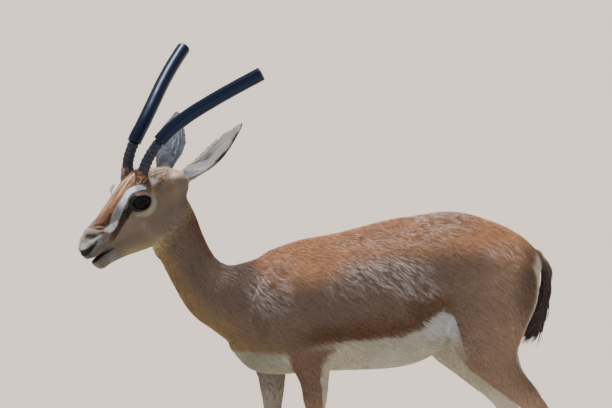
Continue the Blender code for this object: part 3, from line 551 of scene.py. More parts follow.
# Lines on the face in its own frame (forward, out from the middle, up), each with half widths.
marks = {
    "brow": (
        [(-24.8, 40.8, 16.6), (-18.4, 36.7, 21.9), (-12.1, 32.5, 23.3), (-5.9, 26.3, 22.6), (1, 23.3, 21.3),
         (8.5, 22.8, 19.2), (15.4, 22.7, 16.7), (23.3, 22.3, 13.6), (31.6, 22, 9.6), (39.5, 21.8, 5.3),
         (47.9, 21.5, 0.1), (54.4, 21.2, -4.3), (62, 20.6, -8.8)],
        [2.6, 5.2, 7.0, 7.4, 7.2, 6.6, 6.2, 6.0, 6.4, 7.0, 6.8, 5.8, 4.6]),
    "browShade": (
        [(2.1, 34, 20.6), (8.1, 32.9, 18.1), (13.7, 30.3, 13.6), (20.3, 26.5, 8.5)], [3.0, 3.6, 4.2, 4.0]),
    "cheekPatch": (
        [(50, 22.5, -7), (55, 22, -9), (61, 21, -10.3), (68, 20, -10.5), (75, 18.2, -7.3)],
        [2.4, 4.6, 6.0, 6.4, 3.8]),
    "cheekStripe": (
        [(21, 37, 3), (28.1, 32, -2), (35, 27.8, -6.9), (42.2, 24.6, -11.5), (49.4, 22.6, -15.8),
         (57.3, 21, -20.6),
         (65.5, 19.4, -25), (74, 17.4, -30.4), (81.7, 15, -34.9)],
        [5.2, 7.4, 7.8, 7.4, 6.8, 6.6, 6.6, 6.4, 4.4]),
    "ridge": (
        [(-36, 0, 31), (-27.9, 0, 31.6), (-16.7, 4.2, 31.3), (-3.1, 6.6, 28.8), (8.6, 7.6, 25.5),
         (19.2, 8.6, 22.6),
         (31, 9.4, 19.5), (42, 9.8, 16.5)],
        [1.6, 2.4, 2.6, 2.7, 2.7, 2.5, 2.0, 1.2]),
    "nosePatch": (
        [(50, 15.4, 8.5), (57, 16.8, 4.5), (63, 17, 0.5), (70, 14.5, 2.5), (76, 13, 3.5)],
        [3.4, 5.0, 6.0, 4.6, 2.4]),
    "nostril": (
        [(101.8, 18.4, -12), (108, 18.6, -13.6), (115, 17.4, -15), (121, 13.4, -17), (126, 9.6, -18),
         (130, 6.4, -18.8)],
        [1.4, 2.4, 3.2, 4.0, 5.0, 5.6]),
    "noseRidge": (
        [(124, 10, -6.3), (119.1, 14.6, -5.6), (113, 17, -5.6), (104.2, 17.8, -6.7), (95.2, 17.7, -8.2),
         (88.3, 17.8, -9.2)],
        [3.0, 2.6, 2.2, 2.0, 1.8, 1.2]),
    "mouth": (
        [(76.1, 12, -50.4), (85.9, 10, -48.8), (94.2, 8, -47.8), (102.3, 6, -47.2), (109.5, 4, -47),
         (116.4, 3, -47),
         (124, 0, -47.6)],
        [1.8, 2.3, 2.6, 3.6, 4.6, 5.0, 4.6]),
    "foldUpper": (
        [(90, 0, 10), (88.8, 2.7, 8.9), (83.6, 9.1, 7.8), (78.6, 11, 5.7), (74.8, 13.8, 2.9),
         (71.4, 16.2, -0.8)],
        [0.5, 0.8, 1.3, 1.6, 1.6, 1.0]),
    "foldPink": ([(89, 3, 9.5), (84.9, 8.7, 5.8), (79.8, 13.4, 2.7), (75.5, 15.7, 0.2)],
                 [0.8, 1.2, 1.3, 0.9]),
    "foldMiddle": (
        [(95, 0, 10.4), (91.4, 7.1, 9.1), (87.6, 11.9, 4.6), (84.2, 14.3, 0.8), (78.2, 15.2, -1.9),
         (73.5, 16.4, -2.6)],
        [0.5, 0.8, 1.1, 1.3, 1.1, 0.7]),
    "foldLight": ([(98, 0, 10.5), (95.8, 5.8, 8.8), (91.2, 12.2, 3.4), (84.6, 16, -1.8),
                   (77.9, 17.7, -5.1)],
                  [1.2, 1.7, 1.9, 1.7, 1.2]),
    "foldLower": ([(95.3, 16.2, -2.4), (88.4, 16.6, -3.8), (82.8, 17, -6.2), (79, 18.3, -9.6)],
                  [1.5, 1.3, 1.2, 0.8]),
    "noseHollow": ([(110, 8.7, 3.6), (105.1, 11.8, 1.2), (101.4, 15.4, -1.0), (95.3, 16.2, -2.4)],
                   [4.2, 5.4, 5.2, 2.8]),
    "lipFold": ([(77.6, 16, -36.7), (86.9, 16.6, -35.3), (95.4, 17.3, -31.6)], [0.8, 1.2, 0.8]),
    "lidCrease": (
        [(-1.8, 35.7, 20.7), (-8.5, 37.6, 20.8), (-15.4, 39, 19.2), (-21.1, 41.2, 15.4), (-24.4, 43.1, 9),
         (-24.6, 43.8, 0.4), (-22.9, 43.7, -8)],
        [0.6, 1.0, 1.2, 1.2, 1.2, 1.1, 0.8]),
    "tear": ([(12, 37, 9.9), (16.5, 35, 6.5), (20.5, 33.5, 2.5), (25.5, 34, -2.2), (29.5, 34.5, -6.8)],
             [5.6, 6.6, 6.2, 4.8, 3.2]),
    "temple": ([(-43.8, 30.6, 24.7), (-36.8, 38.1, 15.4), (-31.8, 41.6, 5.9), (-28, 42.1, -4.6)],
               [3.4, 3.2, 2.8, 1.8]),
    "paleRing": (
        [(-30.9, 42.2, 0), (-28.4, 40.5, -12.9), (-22.6, 37.3, -23.6), (-13, 34.2, -30.1),
         (-2.6, 34, -29.7),
         (9.2, 39.3, -22.5), (17.5, 40.8, -14.3)],
        [2.2, 4.4, 6.4, 7.4, 7.0, 5.0, 2.4]),
}


def snapMarks(q):
    # each line is read every 2 mm and laid on the mean of the six skin points nearest to it
    for name, (line, widths) in marks.items():
        rows = np.concatenate([np.array(line, float), np.array(widths, float)[:, None]], 1)
        reach = np.linalg.norm(np.diff(rows[:, :3], axis=0), axis=1).sum()
        rows = evenPath(rows, np.linspace(0, 1, int(reach / 2) + 2))
        gaps = ((rows[:, None, :3] - q[None]) ** 2).sum(-1)
        rows[:, :3] = q[np.argpartition(gaps, 6, axis=1)[:, :6]].mean(1)
        marks[name] = (rows[:, :3], rows[:, 3])


def creaseShare(p, name, wide=1.0):
    # exp(-(distance / half width)^2): 1 along a mark, fading to both sides
    gap, width = lineDistance(p, *marks[name])
    return np.exp(-(gap / (width * wide)) ** 2)


def crease(q, name, depth, rim):
    # a groove of Gaussian section along a mark, with a soft roll on both sides of it
    gap, width = lineDistance(q, *marks[name])
    return (
        -depth * np.exp(-(gap / width) ** 2)
        + depth * rim * np.exp(-((gap - 2.6 * width) / (1.5 * width)) ** 2)
    )


def faceRelief(q):
    # how far each point of the face moves along its normal, in millimetres
    push = np.zeros(len(q))
    for name, depth, rim in (
        ("foldUpper", 1.3, 0.4), ("foldMiddle", 1.5, 0.5), ("foldLower", 1.2, 0.4), ("lipFold", 0.8, 0.3),
        ("noseHollow", 1.5, 0.0), ("mouth", 1.6, 0.0), ("lidCrease", 1.5, 0.35), ("tear", 1.2, 0.0),
    ):
        push += crease(q, name, depth, rim)
    gap, width = lineDistance(q, *marks["nostril"])
    push += -3.2 * np.exp(-(gap / (0.85 * width)) ** 4) + 0.7 * np.exp(-((gap - width - 1.6) / 1.4) ** 2)
    gap, width = lineDistance(q, *marks["cheekStripe"])
    push -= 1.0 * np.exp(-(gap / 5.0) ** 2)
    for name, height in (("brow", 0.9), ("noseRidge", 0.8), ("foldLight", 0.5)):
        push += height * creaseShare(q, name)
    return push


skinMake = {
    "voxel": 2.2, "softenTimes": 26, "cheekTimes": 60, "bodyFaces": 0.26, "bodyWeight": 40.0, "below": 0.4,
}


def strengthGroup(obj, name, share):
    # a vertex group whose weight is the share, in ten steps
    group = obj.vertex_groups.new(name=name)
    for level in range(1, 11):
        group.add(np.nonzero(np.round(share * 10) == level)[0].tolist(), level / 10, "REPLACE")
    return name


def buildSkin():
    # the overlapping forms become one voxel surface, which is softened, most on the trunk and
    # the cheeks, and then gets larger faces below the head and smaller ones on the face
    forms = [closedTube(slicedTube(body["trunk"])), closedTube(slicedTube(body["neck"]))] + headForms()
    for side in (left, right):
        forms.append(closedTube(slicedTube(limbRows(body["foreLimb"], side, body["foreStride"]), 32)))
        forms.append(closedTube(slicedTube(limbRows(body["hindLimb"], side, body["hindStride"]), 32)))
    stalk = evenPath([(x, 0, z) for x, z in tail["path"]], (0.0, 0.12, 0.27))
    forms.append(closedTube(roundTube(stalk, (13, 11, 9.0), flatAxis=(0, 1, 0))))
    made = putMesh("skin", *joined(forms))
    remesh = made.modifiers.new("oneBody", "REMESH")
    remesh.mode = "VOXEL"
    remesh.voxel_size = skinMake["voxel"] * mm
    settle(made)
    points = drawnPoints(made.data)
    onHead = headShare(points)
    q = toHead(points)
    cheek = ease(-q[:, 0], -35, -5) * ease(-q[:, 2], 14, 30) * ease(np.abs(q[:, 1]), 6, 14)
    soft = np.clip((points[:, 2] - 230) / 170, 0.12, 1) * (1 - 0.45 * onHead * (1 - cheek))
    for name, share, times in (("soft", soft, skinMake["softenTimes"]),
                               ("cheek", cheek * onHead, skinMake["cheekTimes"])):
        smooth = made.modifiers.new(name, "SMOOTH")
        smooth.factor, smooth.iterations = 0.5, times
        smooth.vertex_group = strengthGroup(made, name, share)
    settle(made)
    made.vertex_groups.clear()
    group = made.vertex_groups.new(name="thin")
    points = drawnPoints(made.data)
    group.add(np.nonzero(headShare(points) < skinMake["below"])[0].tolist(), 1.0, "REPLACE")
    thin = made.modifiers.new("thin", "DECIMATE")
    thin.ratio, thin.vertex_group = skinMake["bodyFaces"], "thin"
    thin.vertex_group_factor = skinMake["bodyWeight"]
    thin.use_collapse_triangulate = True
    settle(made)
    made.vertex_groups.clear()
    return refineFace(made)


def refineFace(obj):
    # the muzzle, the eyes' surrounds and the brow get faces of half the size
    mesh = bmesh.new()
    mesh.from_mesh(obj.data)
    q = toHead((np.array([v.co[:] for v in mesh.verts]) - shift) / mm)
    fine = (q[:, 0] > -34) & (np.abs(q[:, 1]) < 62) & (q[:, 2] > -92) & (q[:, 0] < 150) & (q[:, 2] < 60)
    edges = [e for e in mesh.edges if fine[e.verts[0].index] and fine[e.verts[1].index]]
    bmesh.ops.subdivide_edges(mesh, edges=edges, cuts=1, use_grid_fill=True, smooth=0.4)
    bmesh.ops.triangulate(mesh, faces=mesh.faces)
    mesh.to_mesh(obj.data)
    mesh.free()
    return obj


def headShare(points):
    # 1 on the head and 0 on the neck, by the distance from the plane through nape and throat
    nape, throat = np.array([-259.0, 0, 668]), np.array([-331.0, 0, 572])
    down = unit(throat - nape)
    forward = np.cross([0, 1, 0], down)
    return ease((points - (nape + throat) / 2) @ forward, -24, 8) * ease(points[:, 2], 470, 520)


def shapeSkin(obj):
    # the skin sinks by the coat's depth, then takes the face's folds and the eyes' openings
    tris = triangleCorners(obj.data)
    points = drawnPoints(obj.data)
    normals = pointNormals(points, tris)
    q = toHead(points)
    onHead = headShare(points)
    muzzle = onHead * ease(q[:, 0], 20, 90)
    low = ease(-points[:, 2], -330, -120)
    depth = body["coatDepth"] * (1 - 0.6 * onHead - 0.25 * muzzle) * (1 - 0.45 * low)
    mirroredQ = np.stack([q[:, 0], np.abs(q[:, 1]), q[:, 2]], 1)
    nearFace = (q[:, 0] > -70) & (q[:, 1] > 0) & (onHead > 0.5)
    snapMarks(q[nearFace])
    relief = faceRelief(mirroredQ) * onHead * ease(q[:, 0], -46, -26)
    points = points + normals * (relief - depth)[:, None]
    q = toHead(points)
    for side in (left, right):
        q = openEye(q, side)
    points = np.where(onHead[:, None] > 0.01, fromHead(q), points)
    obj.data.vertices.foreach_set("co", (points * mm + shift).astype(np.float32).ravel())
    obj.data.update()
    return obj


def openEye(q, side):
    # inside the eye's oval the skin goes under the eyeball, outside it stays just clear of it
    centre, facing, ahead, up = eyeAxes(side)
    r = q - centre
    x, y, z = r @ ahead / eye["opening"][0], r @ up / eye["opening"][1], r @ facing
    oval = np.sqrt(x * x + y * y)
    distance = np.linalg.norm(r, axis=1)
    close = (z > 0) & (distance < eye["radius"] + 14)
    inside = close & (oval < 1.0)
    around = close & (oval >= 1.0) & (oval < 1.7)
    target = np.where(inside, np.minimum(distance, eye["radius"] - 3.0), distance)
    target = np.where(around, np.maximum(distance, eye["radius"] + 1.0), target)
    return centre + r * (target / np.maximum(distance, 1e-6))[:, None]


# Coat colours, as sRGB hex, named for where they grow or for the painted light or painted shade that they
# stand for.
coat = {
    "back": "#d29e78", "side": "#7f6a60", "flankBand": "#5c3915", "belly": "#d2d2c6",
    "chestShade": "#9ea494",
    "rump": "#a08673", "rumpWhite": "#e4e0d6", "neck": "#705f54", "neckBack": "#6e4c36",
    "throat": "#9c865e",
    "legOuter": "#836856", "legInner": "#cfccbd", "legShade": "#8f8a80", "cheek": "#6f6359",
    "jaw": "#8c8262",
    "chin": "#6f6a63", "chestnut": "#855a44", "crownTopLight": "#c9b29f", "hornBase": "#4c3522",
    "browWhite": "#d6e4f8",
    "browLowShade": "#757b82", "browShade": "#4e5257", "patchWhite": "#c6d0e0", "stripeDark": "#1c100b",
    "stripeBrown": "#3a2015", "nosePatch": "#42331f", "noseLobe": "#98928a", "noseHighlight": "#c8d6e6",
    "lip": "#66625e", "lipBlue": "#7c8288", "lidSkin": "#9c8578", "lidDark": "#0b0908",
    "wetSkinAndGapShade": "#08080b",
    "ridgeHighlightAndStreak": "#dfb698", "earBase": "#b9c4cb", "farEarBaseShade": "#4a5260", "foldCreaseShade": "#2c120e",
    "foldHighlight": "#c9b8a6", "foldPink": "#a58a80", "hollow": "#3d342b", "paintedSheen": "#dcd8dd",
    "ringPale": "#9a978e",
    "temple": "#4f3d31", "spotBrown": "#66503c", "lockGapShade": "#4a352b",
    "rumpShade": "#6b5546", "groinWhite": "#cfd5d9",
}
tone = {name: linear(value) for name, value in coat.items()}


def layered(colour, layers):
    # one tone over another, each with its share at every point
    for name, share in layers:
        colour = mixed(colour, name, share)
    return colour


def mixed(base, name, share):
    # base + (tone - base) x share
    return base + (tone[name] - base) * np.clip(share, 0, 1)[:, None]


def lineShare(p, name, soft=1.5, wide=1.0):
    # 1 within a mark's half width and 0 outside it, with an edge 2 x soft millimetres wide
    gap, width = lineDistance(p, *marks[name])
    return ease(width * wide - gap, -soft, soft)


def cloudy(points, sizes, seed):
    # smooth random values from 0 to 1: every corner of a grid of cells has a value of its own, and
    # inside a cell they are mixed by 3t^2 - 2t^3 along each direction
    corners = np.random.default_rng(seed).random((32, 32, 32))
    place = points / np.asarray(sizes, float)
    cell = np.floor(place).astype(int)
    t = place - cell
    t = t * t * (3 - 2 * t)
    total = np.zeros(len(points))
    for i in (0, 1):
        for j in (0, 1):
            for k in (0, 1):
                share = np.abs(1 - i - t[:, 0]) * np.abs(1 - j - t[:, 1]) * np.abs(1 - k - t[:, 2])
                at = (cell + (i, j, k)) % 32
                total += share * corners[at[:, 0], at[:, 1], at[:, 2]]
    return total


def lockField(points, fall, seed):
    # 0 in the gaps between locks of hair and 1 on their crests: two smooth random fields,
    # drawn out along the hair, which falls to the rear by the angle given
    c, f = math.cos(math.radians(fall)), math.sin(math.radians(fall))
    x, y, z = points.T
    turned = np.stack([x * c - z * f, y, x * f + z * c], 1)
    return 0.55 * cloudy(turned, (12, 7, 2.5), seed) + 0.45 * cloudy(turned, (6, 5, 1.5), seed + 1)


def spot(x, z, centre, radii):
    # 1 in the middle of an upright oval on the flank, falling to 0 at its edge
    return ease(-np.hypot((x - centre[0]) / radii[0], (z - centre[1]) / radii[1]), -1.0, -0.45)


def paintedSheenShare(points):
    # where a painted sheen of the light lies pale on the coat's crests: shoulder, flank, hip and croup, and
    # weaker on the back
    x, z = points[:, 0], points[:, 2]
    share = np.zeros(len(points))
    for centre, radii, strength in (
        ((-116, 512), (54, 60), 0.85), ((-100, 560), (50, 36), 0.5), ((95, 548), (112, 40), 0.95),
        ((30, 522), (58, 36), 0.35),
        ((150, 520), (60, 34), 0.7), ((222, 634), (70, 26), 0.8), ((60, 604), (110, 34), 0.55),
        ((160, 610), (80, 30), 0.5),
        ((310, 584), (60, 24), 0.55), ((-176, 545), (40, 28), 0.25),
    ):
        share = np.maximum(share, spot(x, z, centre, radii) * strength)
    crest = np.interp(x, [-190, -120, 0, 110, 200, 290, 380], [505, 570, 606, 634, 648, 636, 580])
    share = share * (0.25 + 0.75 * ease(crest - z, 4, 22))
    return np.maximum(share, spot(x, z, (190, 640), (75, 30)) * 0.8)


def bodyColour(p, n):
    # sandy back, partly painted top light, darker band low on the flank, white below, and the legs' and
    # rump's white
    x, y, z = p[:, 0], p[:, 1], p[:, 2]
    side = -np.sign(y)
    wave = 9.0 * (cloudy(p, (16, 14, 12), 21) - 0.5) + 6.0 * (cloudy(p, (5, 5, 4), 22) - 0.5)
    colour = np.tile(tone["side"], (len(p), 1))
    crest = np.interp(x, [-190, -120, 0, 110, 200, 290, 380], [505, 570, 606, 634, 648, 636, 580])
    # the back is painted paler than the side: a sandy back with painted top light on it
    saddle = 6 * spot(x, z, (-20, 560), (60, 60))
    backWithTopLight = (
        ease(z - crest + saddle + 1.5 * wave, -92, -32) * ease(x + 0.8 * (z - 560) + wave, -172, -125)
    )
    neckward = ease(-x, 120, 215) * ease(z, 430, 520)
    under = ease(-n[:, 0] - 0.8 * n[:, 2], 0.05, 0.8) * ease(-x, 130, 215)
    line = np.interp(x, [-260, -185, -148, -83, 18, 55, 128, 165, 183, 205, 230, 244, 257, 276, 300],
                     [384, 398, 393, 394, 420, 423, 429, 445, 462, 476, 458, 405, 380, 362, 330])
    line = line + wave * 0.4
    band = ease(z - line, -3, 8) * ease(line - z, -60, -14)
    bandAlong = ease(x, -110, -20) * ease(-x, -215, -170)
    below = ease(line - z, -4, 5) * ease(-x, -285, -262) * ease(z, 335, 345)
    colour = layered(colour, (
        ("back", backWithTopLight),
        ("rump", ease(x, 210, 300) * ease(-z, -590, -530)),
        # painted shade: the rump darkens towards its rear
        ("rumpShade", spot(x, z, (395, 515), (75, 130)) * 0.95),
        ("neck", neckward * 0.9),
        ("neckBack", neckward * ease(0.85 * n[:, 0] + 0.5 * n[:, 2], 0.3, 0.85) * ease(z, 540, 600) * 0.8),
        # the throat and the lower front are painted yellowish, partly as painted warm light reflected from
        # the ground
        ("throat", under * 0.85 * ease(-z, -655, -600)),
        ("throat", ease(-z, -445, -400) * ease(-x, 60, 110) * 0.5),
        ("flankBand", band * bandAlong),
        ("flankBand", spot(x, z + wave, (178, 484), (62, 36)) * ease(z - line, -3, 8) * 0.8),
        ("belly", below),
        # painted shade: the white of the chest is painted greyer, most towards the front
        ("chestShade", below * (0.3 + 0.7 * ease(-x, 60, 160)) * 0.9),
        ("belly", ease(-n[:, 2], 0.35, 0.75) * ease(z, 330, 350) * ease(-x, -290, -250) * ease(x, -60, 0)),
        ("groinWhite", below * spot(x, z, (200, 445), (60, 50))),
    ))
    # legs: brown outside, with a pale strip behind, white inside. The far foreleg's pale side is painted
    # greyer, as painted shade.
    foreX = x + np.where(side == right, ease(-z, -470, -372) * 80, 0)
    frontEdge = np.interp(z, [340, 344, 363, 394, 420], [-300, -64, -74, -80, -92])
    rearEdge = np.interp(z, [160, 263, 330, 351, 374, 388, 401, 411, 425],
                         [10, -9, -17, -19, -17, -10, 3, 16, 60])
    fore = (
        ease(-foreX, -80, -40) * ease(-z, -425, -395) * ease(np.abs(y), 14, 24)
        * ease(foreX - frontEdge, -5, 5)
    )
    hind = ease(x, 190, 225) * ease(-z, -520, -440) * ease(np.abs(y), 8, 20)
    outer = n[:, 1] * -side
    foreWhite = np.maximum(ease(-outer, 0.15, 0.6),
                           ease(foreX - rearEdge + 0.4 * wave, -2, 3) * ease(z, 150, 300))
    pale = np.where((side == right)[:, None], tone["legShade"], tone["legInner"])
    legTone = tone["legOuter"] + (pale - tone["legOuter"]) * foreWhite[:, None]
    colour = colour + (legTone - colour) * fore[:, None]
    front = ease(-n[:, 0] + wave * 0.02, 0.55, 0.85) * ease(-z, -400, -350) * ease(z, 250, 300)
    hindWhite = np.maximum(ease(-outer, 0.2, 0.6), front)
    legTone = tone["rump"] + (tone["legInner"] - tone["rump"]) * hindWhite[:, None]
    colour = colour + (legTone - colour) * (hind * ease(-z, -450, -360))[:, None]
    # rump patch behind
    patch = (
        ease(n[:, 0], 0.55, 0.85) * ease(30 - np.abs(y) + wave * 0.6, 0, 10) * ease(x, 330, 350)
        * ease(z, 300, 380)
    )
    edge = ease(n[:, 0], 0.68, 0.86) * ease(x, 320, 340) * ease(z, 330, 390)
    colour = mixed(colour, "rumpWhite", np.maximum(patch, edge * 0.8) * ease(-z, -582, -568))
    return colour


def near(p, centre, full, edge):
    # 1 within full millimetres of a place and 0 beyond edge
    return ease(-np.linalg.norm(p - np.array(centre, float), axis=1), -edge, -full)


def headColour(q):
    # chestnut bridge, white brow line, dark cheek stripe, grey muzzle and pale chin
    a, s, c = q[:, 0], np.abs(q[:, 1]), q[:, 2]
    p = np.stack([a, s, c], 1)
    wave = 3.4 * (cloudy(q, (5, 5, 4), 23) - 0.5) + 2.4 * (cloudy(q, (2, 2, 1.6), 24) - 0.5)
    flecks = 0.45 + 0.55 * ease(cloudy(q, (5, 2.2, 2.2), 25), 0.3, 0.6)
    colour = np.tile(tone["cheek"], (len(q), 1))
    crownLightEdge = np.interp(a, [-105, -87, -76, -61, -48, -40, -30], [-22, -14, -8, 0, 7, 20, 32])
    bottom = np.interp(a, [-62, -40, -15, 15, 40, 60, 85, 110], [-98, -110, -112, -107, -97, -88, -79, -73])
    browS = np.interp(a, [-30, -18, -6, 1, 15, 48, 62, 85], [40, 36, 27, 24, 23, 21.5, 20.6, 17])
    top = ease(browS - s, -3, 2) * ease(c, -12, 0)
    streak = cloudy(q, (12, 2.2, 2.2), 27)
    streaky = top * ease(a, -48, -36) * ease(-a, -62, -40)
    stripe = lineShare(p, "cheekStripe", 2.0) * (1 - 0.6 * ease(a, 64, 88))
    brow = lineShare(p, "brow", 1.3)
    centre, facing, ahead, up = eyeAxes(left)
    r = p - centre
    x, y = r @ ahead, r @ up
    oval = np.sqrt((x / eye["opening"][0]) ** 2 + (y / eye["opening"][1]) ** 2)
    inFront = ease(r @ facing, 0, 4)
    ring = ease(oval, 1.0, 1.12) * inFront
    rim = 1.24 + 0.16 * ease(x, 4, 14) + 0.16 * ease(-y, 2, 8)
    colour = layered(colour, (
        # painted top light: the top of the head behind the horns is painted paler, as lit from above
        ("crownTopLight", ease(c - crownLightEdge + wave, -3, 6) * ease(-a, 32, 44)),
        # the underside of the jaw is painted yellowish, partly as painted warm light reflected from the
        # ground
        ("jaw", ease(bottom + 30 - c, 0, 24) * ease(-a, -90, -55) * 0.85),
        ("spotBrown", near(p, (-69, 36, -23), 4, 12) * 0.55),
        ("chestnut", top * ease(a, -45, -15)),
        ("hornBase", ease(24 - np.hypot(a + 32, s - 25), 0, 12) * ease(c, 10, 24) * flecks),
        ("hornBase", ease(s, 6, 12) * top * ease(-a, -12, 8) * flecks * 0.85),
        ("hornBase", near(p, horn["path"][0], 14, 22) * (0.3 + 0.7 * flecks)),
        ("hornBase", top * ease(-a, -34, 8) * ease(flecks, 0.7, 1.0) * 0.55),
        # pale streaks along the hair of the face, in the same tone as the ridge's highlight
        ("ridgeHighlightAndStreak", streaky * ease(streak, 0.55, 0.8) * 0.5 * ease(-a, -30, 0)),
        ("hornBase", streaky * ease(-streak, -0.45, -0.25) * 0.5),
        ("temple", lineShare(p, "temple", 2.0) * 0.75),
        # painted highlight along the lit edge of the nose's ridge, and below it a weaker one over the top
        # of the nose
        ("ridgeHighlightAndStreak", lineShare(p, "ridge", 1.4) * (0.85 + 0.05 * wave) * (1 - 0.7 * ease(a, 5, 28))),
        ("ridgeHighlightAndStreak", ease(9 - s, 0, 6) * ease(a, 15, 35) * ease(-a, -80, -50) * ease(c, 5, 12) * 0.3),
        ("nosePatch", lineShare(p, "nosePatch", 1.8) * 0.95),
        ("noseLobe", ease(a, 82, 90) * ease(c, -40, -30)),
        ("lip", ease(a, 66, 84) * ease(-c, 10, 18) * ease(c, -50, -44)),
        ("lipBlue", near(p, (99, 18, -16), 3, 10) * 0.85),
        ("stripeBrown", stripe),
        ("stripeDark", stripe * ease(-a, -78, -30) * 0.95),
        # painted shade between the white brow line and the eye
        ("browShade", lineShare(p, "browShade", 2.4) * 0.8),
        ("browWhite", brow),
        # the white brow line is painted greyer low on the face, as painted shade
        ("browLowShade", brow * ease(a, 20, 36)),
        ("patchWhite", lineShare(p, "cheekPatch", 1.8)),
        ("browWhite", near(p + wave[:, None] * 1.2, (-49, 31, 9), 0, 11) * 0.5),
        ("chin", ease(a, 66, 84) * ease(-c, 46, 50)),
        ("lipBlue", near(p, (92, 12, -64), 3, 12) * 0.6),
        # painted shade in the hollow above the nostril
        ("hollow", lineShare(p, "noseHollow", 1.8) * 0.9),
        # painted highlight along the crest of the light fold
        ("foldHighlight", lineShare(p, "foldLight", 0.9) * 0.85),
        ("foldPink", lineShare(p, "foldPink", 0.8) * 0.9),
        # painted shade in the creases of the nose's folds and of the lip
        ("foldCreaseShade", creaseShare(p, "foldUpper") * 0.95),
        ("foldCreaseShade", creaseShare(p, "foldMiddle") * 0.95),
        ("foldCreaseShade", creaseShare(p, "foldLower") * 0.8),
        ("foldCreaseShade", creaseShare(p, "lipFold") * 0.45),
        # painted highlight on the tip of the nose and along the ridge over the nostril
        ("noseHighlight", near(p, (127, 8, -8), 3, 10)),
        ("noseHighlight", lineShare(p, "noseRidge", 1.0) * 0.85),
        ("wetSkinAndGapShade", near(p, (128, 10, -27), 4, 10) * 0.6),
        # painted shade in the nostril's opening and in the gap of the mouth, in the black of the nose's wet
        # skin
        ("wetSkinAndGapShade", lineShare(p, "nostril", 0.8, 1.3)),
        ("wetSkinAndGapShade", ease(7.0 - np.hypot((c + 21) * 0.8, s * 1.1), 0, 3) * ease(a, 124, 130)),
        ("wetSkinAndGapShade", lineShare(p, "mouth", 0.8)),
        ("ringPale", lineShare(p, "paleRing", 3.2) * 0.8),
        ("lidSkin", ring * ease(y, -1, 5) * ease(-oval, -1.62, -1.45) * ease(-x, -12, -4)),
        # painted shade in the crease above the upper lid
        ("lidDark", creaseShare(p, "lidCrease", 1.1) * 0.7),
        ("lidDark", lineShare(p, "tear", 1.2, 0.85)),
        ("lidDark", ease(rim - oval, 0, 0.08) * inFront),
        ("earBase", near(p, (-110, 44, -14), 8, 17) * 0.85 * (q[:, 1] > 0)),
        # painted shade at the base of the far ear
        ("farEarBaseShade", near(p, (-110, 46, -12), 22, 30) * 0.9 * (q[:, 1] < 0)),
    ))
    return colour


def furColour(points, normals):
    # the body's colours run into the head's over the width of headShare's step
    onHead = headShare(points)[:, None]
    return bodyColour(points, normals) * (1 - onHead) + headColour(toHead(points)) * onHead


def furMaterial(name, streaks, sheen):
    # Short fur seen as one coat: dry keratin hairs, lying flat, scatter light softly. The eye gets
    # fine streaks a hair lock wide, about 1.5 mm, and a dull sheen, with no hard gloss.
    made, tree, shader = newMaterial(name, {
        "Roughness": 0.72, "IOR": 1.5, "Specular IOR Level": 0.35, "Sheen Weight": sheen,
        "Sheen Roughness": 0.45, "Sheen Tint": rgba("#efe2d6"),
    })
    tint = addNode(tree, "ShaderNodeAttribute", {"attribute_name": "furTint"})
    where = addNode(tree, "ShaderNodeTexCoord")
    squeeze = addNode(tree, "ShaderNodeMapping", {"Scale": (160, 620, 520)},
                      {"Vector": where.outputs["Object"]})
    strands = addNode(tree, "ShaderNodeTexNoise", {"Scale": 1.0, "Detail": 3.0, "Roughness": 0.65},
                      {"Vector": squeeze.outputs["Vector"]})
    patches = addNode(tree, "ShaderNodeTexNoise", {"Scale": 28.0, "Detail": 4.0},
                      {"Vector": where.outputs["Object"]})
    light = addNode(tree, "ShaderNodeMapRange",
                    {"From Min": 0.3, "From Max": 0.7, "To Min": 1 - streaks, "To Max": 1 + streaks},
                    {"Value": strands.outputs["Fac"]})
    broad = addNode(tree, "ShaderNodeMapRange",
                    {"From Min": 0.3, "From Max": 0.7, "To Min": 0.92, "To Max": 1.08},
                    {"Value": patches.outputs["Fac"]})
    both = addNode(tree, "ShaderNodeMath", {"operation": "MULTIPLY"})
    tree.links.new(light.outputs["Result"], both.inputs[0])
    tree.links.new(broad.outputs["Result"], both.inputs[1])
    scaled = addNode(tree, "ShaderNodeVectorMath", {"operation": "SCALE"},
                     {0: tint.outputs["Color"], "Scale": both.outputs["Value"]})
    tree.links.new(scaled.outputs["Vector"], shader.inputs["Base Color"])
    bump = addNode(tree, "ShaderNodeBump", {"Strength": 0.35, "Distance": 0.0006},
                   {"Height": strands.outputs["Fac"]})
    tree.links.new(bump.outputs["Normal"], shader.inputs["Normal"])
    return made


print("building the skin")
skin = shapeSkin(buildSkin())
skinPoints = drawnPoints(skin.data)
skinTris = triangleCorners(skin.data)
skinNormals = pointNormals(skinPoints, skinTris)
paint(skin, furColour(skinPoints, skinNormals))
furSkin = furMaterial("short flat fur over skin", 0.16, 0.25)
flesh = ["torso", "neck", "head", "leg_front_left", "leg_front_right", "leg_hind_left", "leg_hind_right"]
finished(skin, furSkin, flesh)
print("skin", len(skinTris), "triangles")


tuftPatch = 0.003  # each tuft's place on the unwrap, as a share of its width


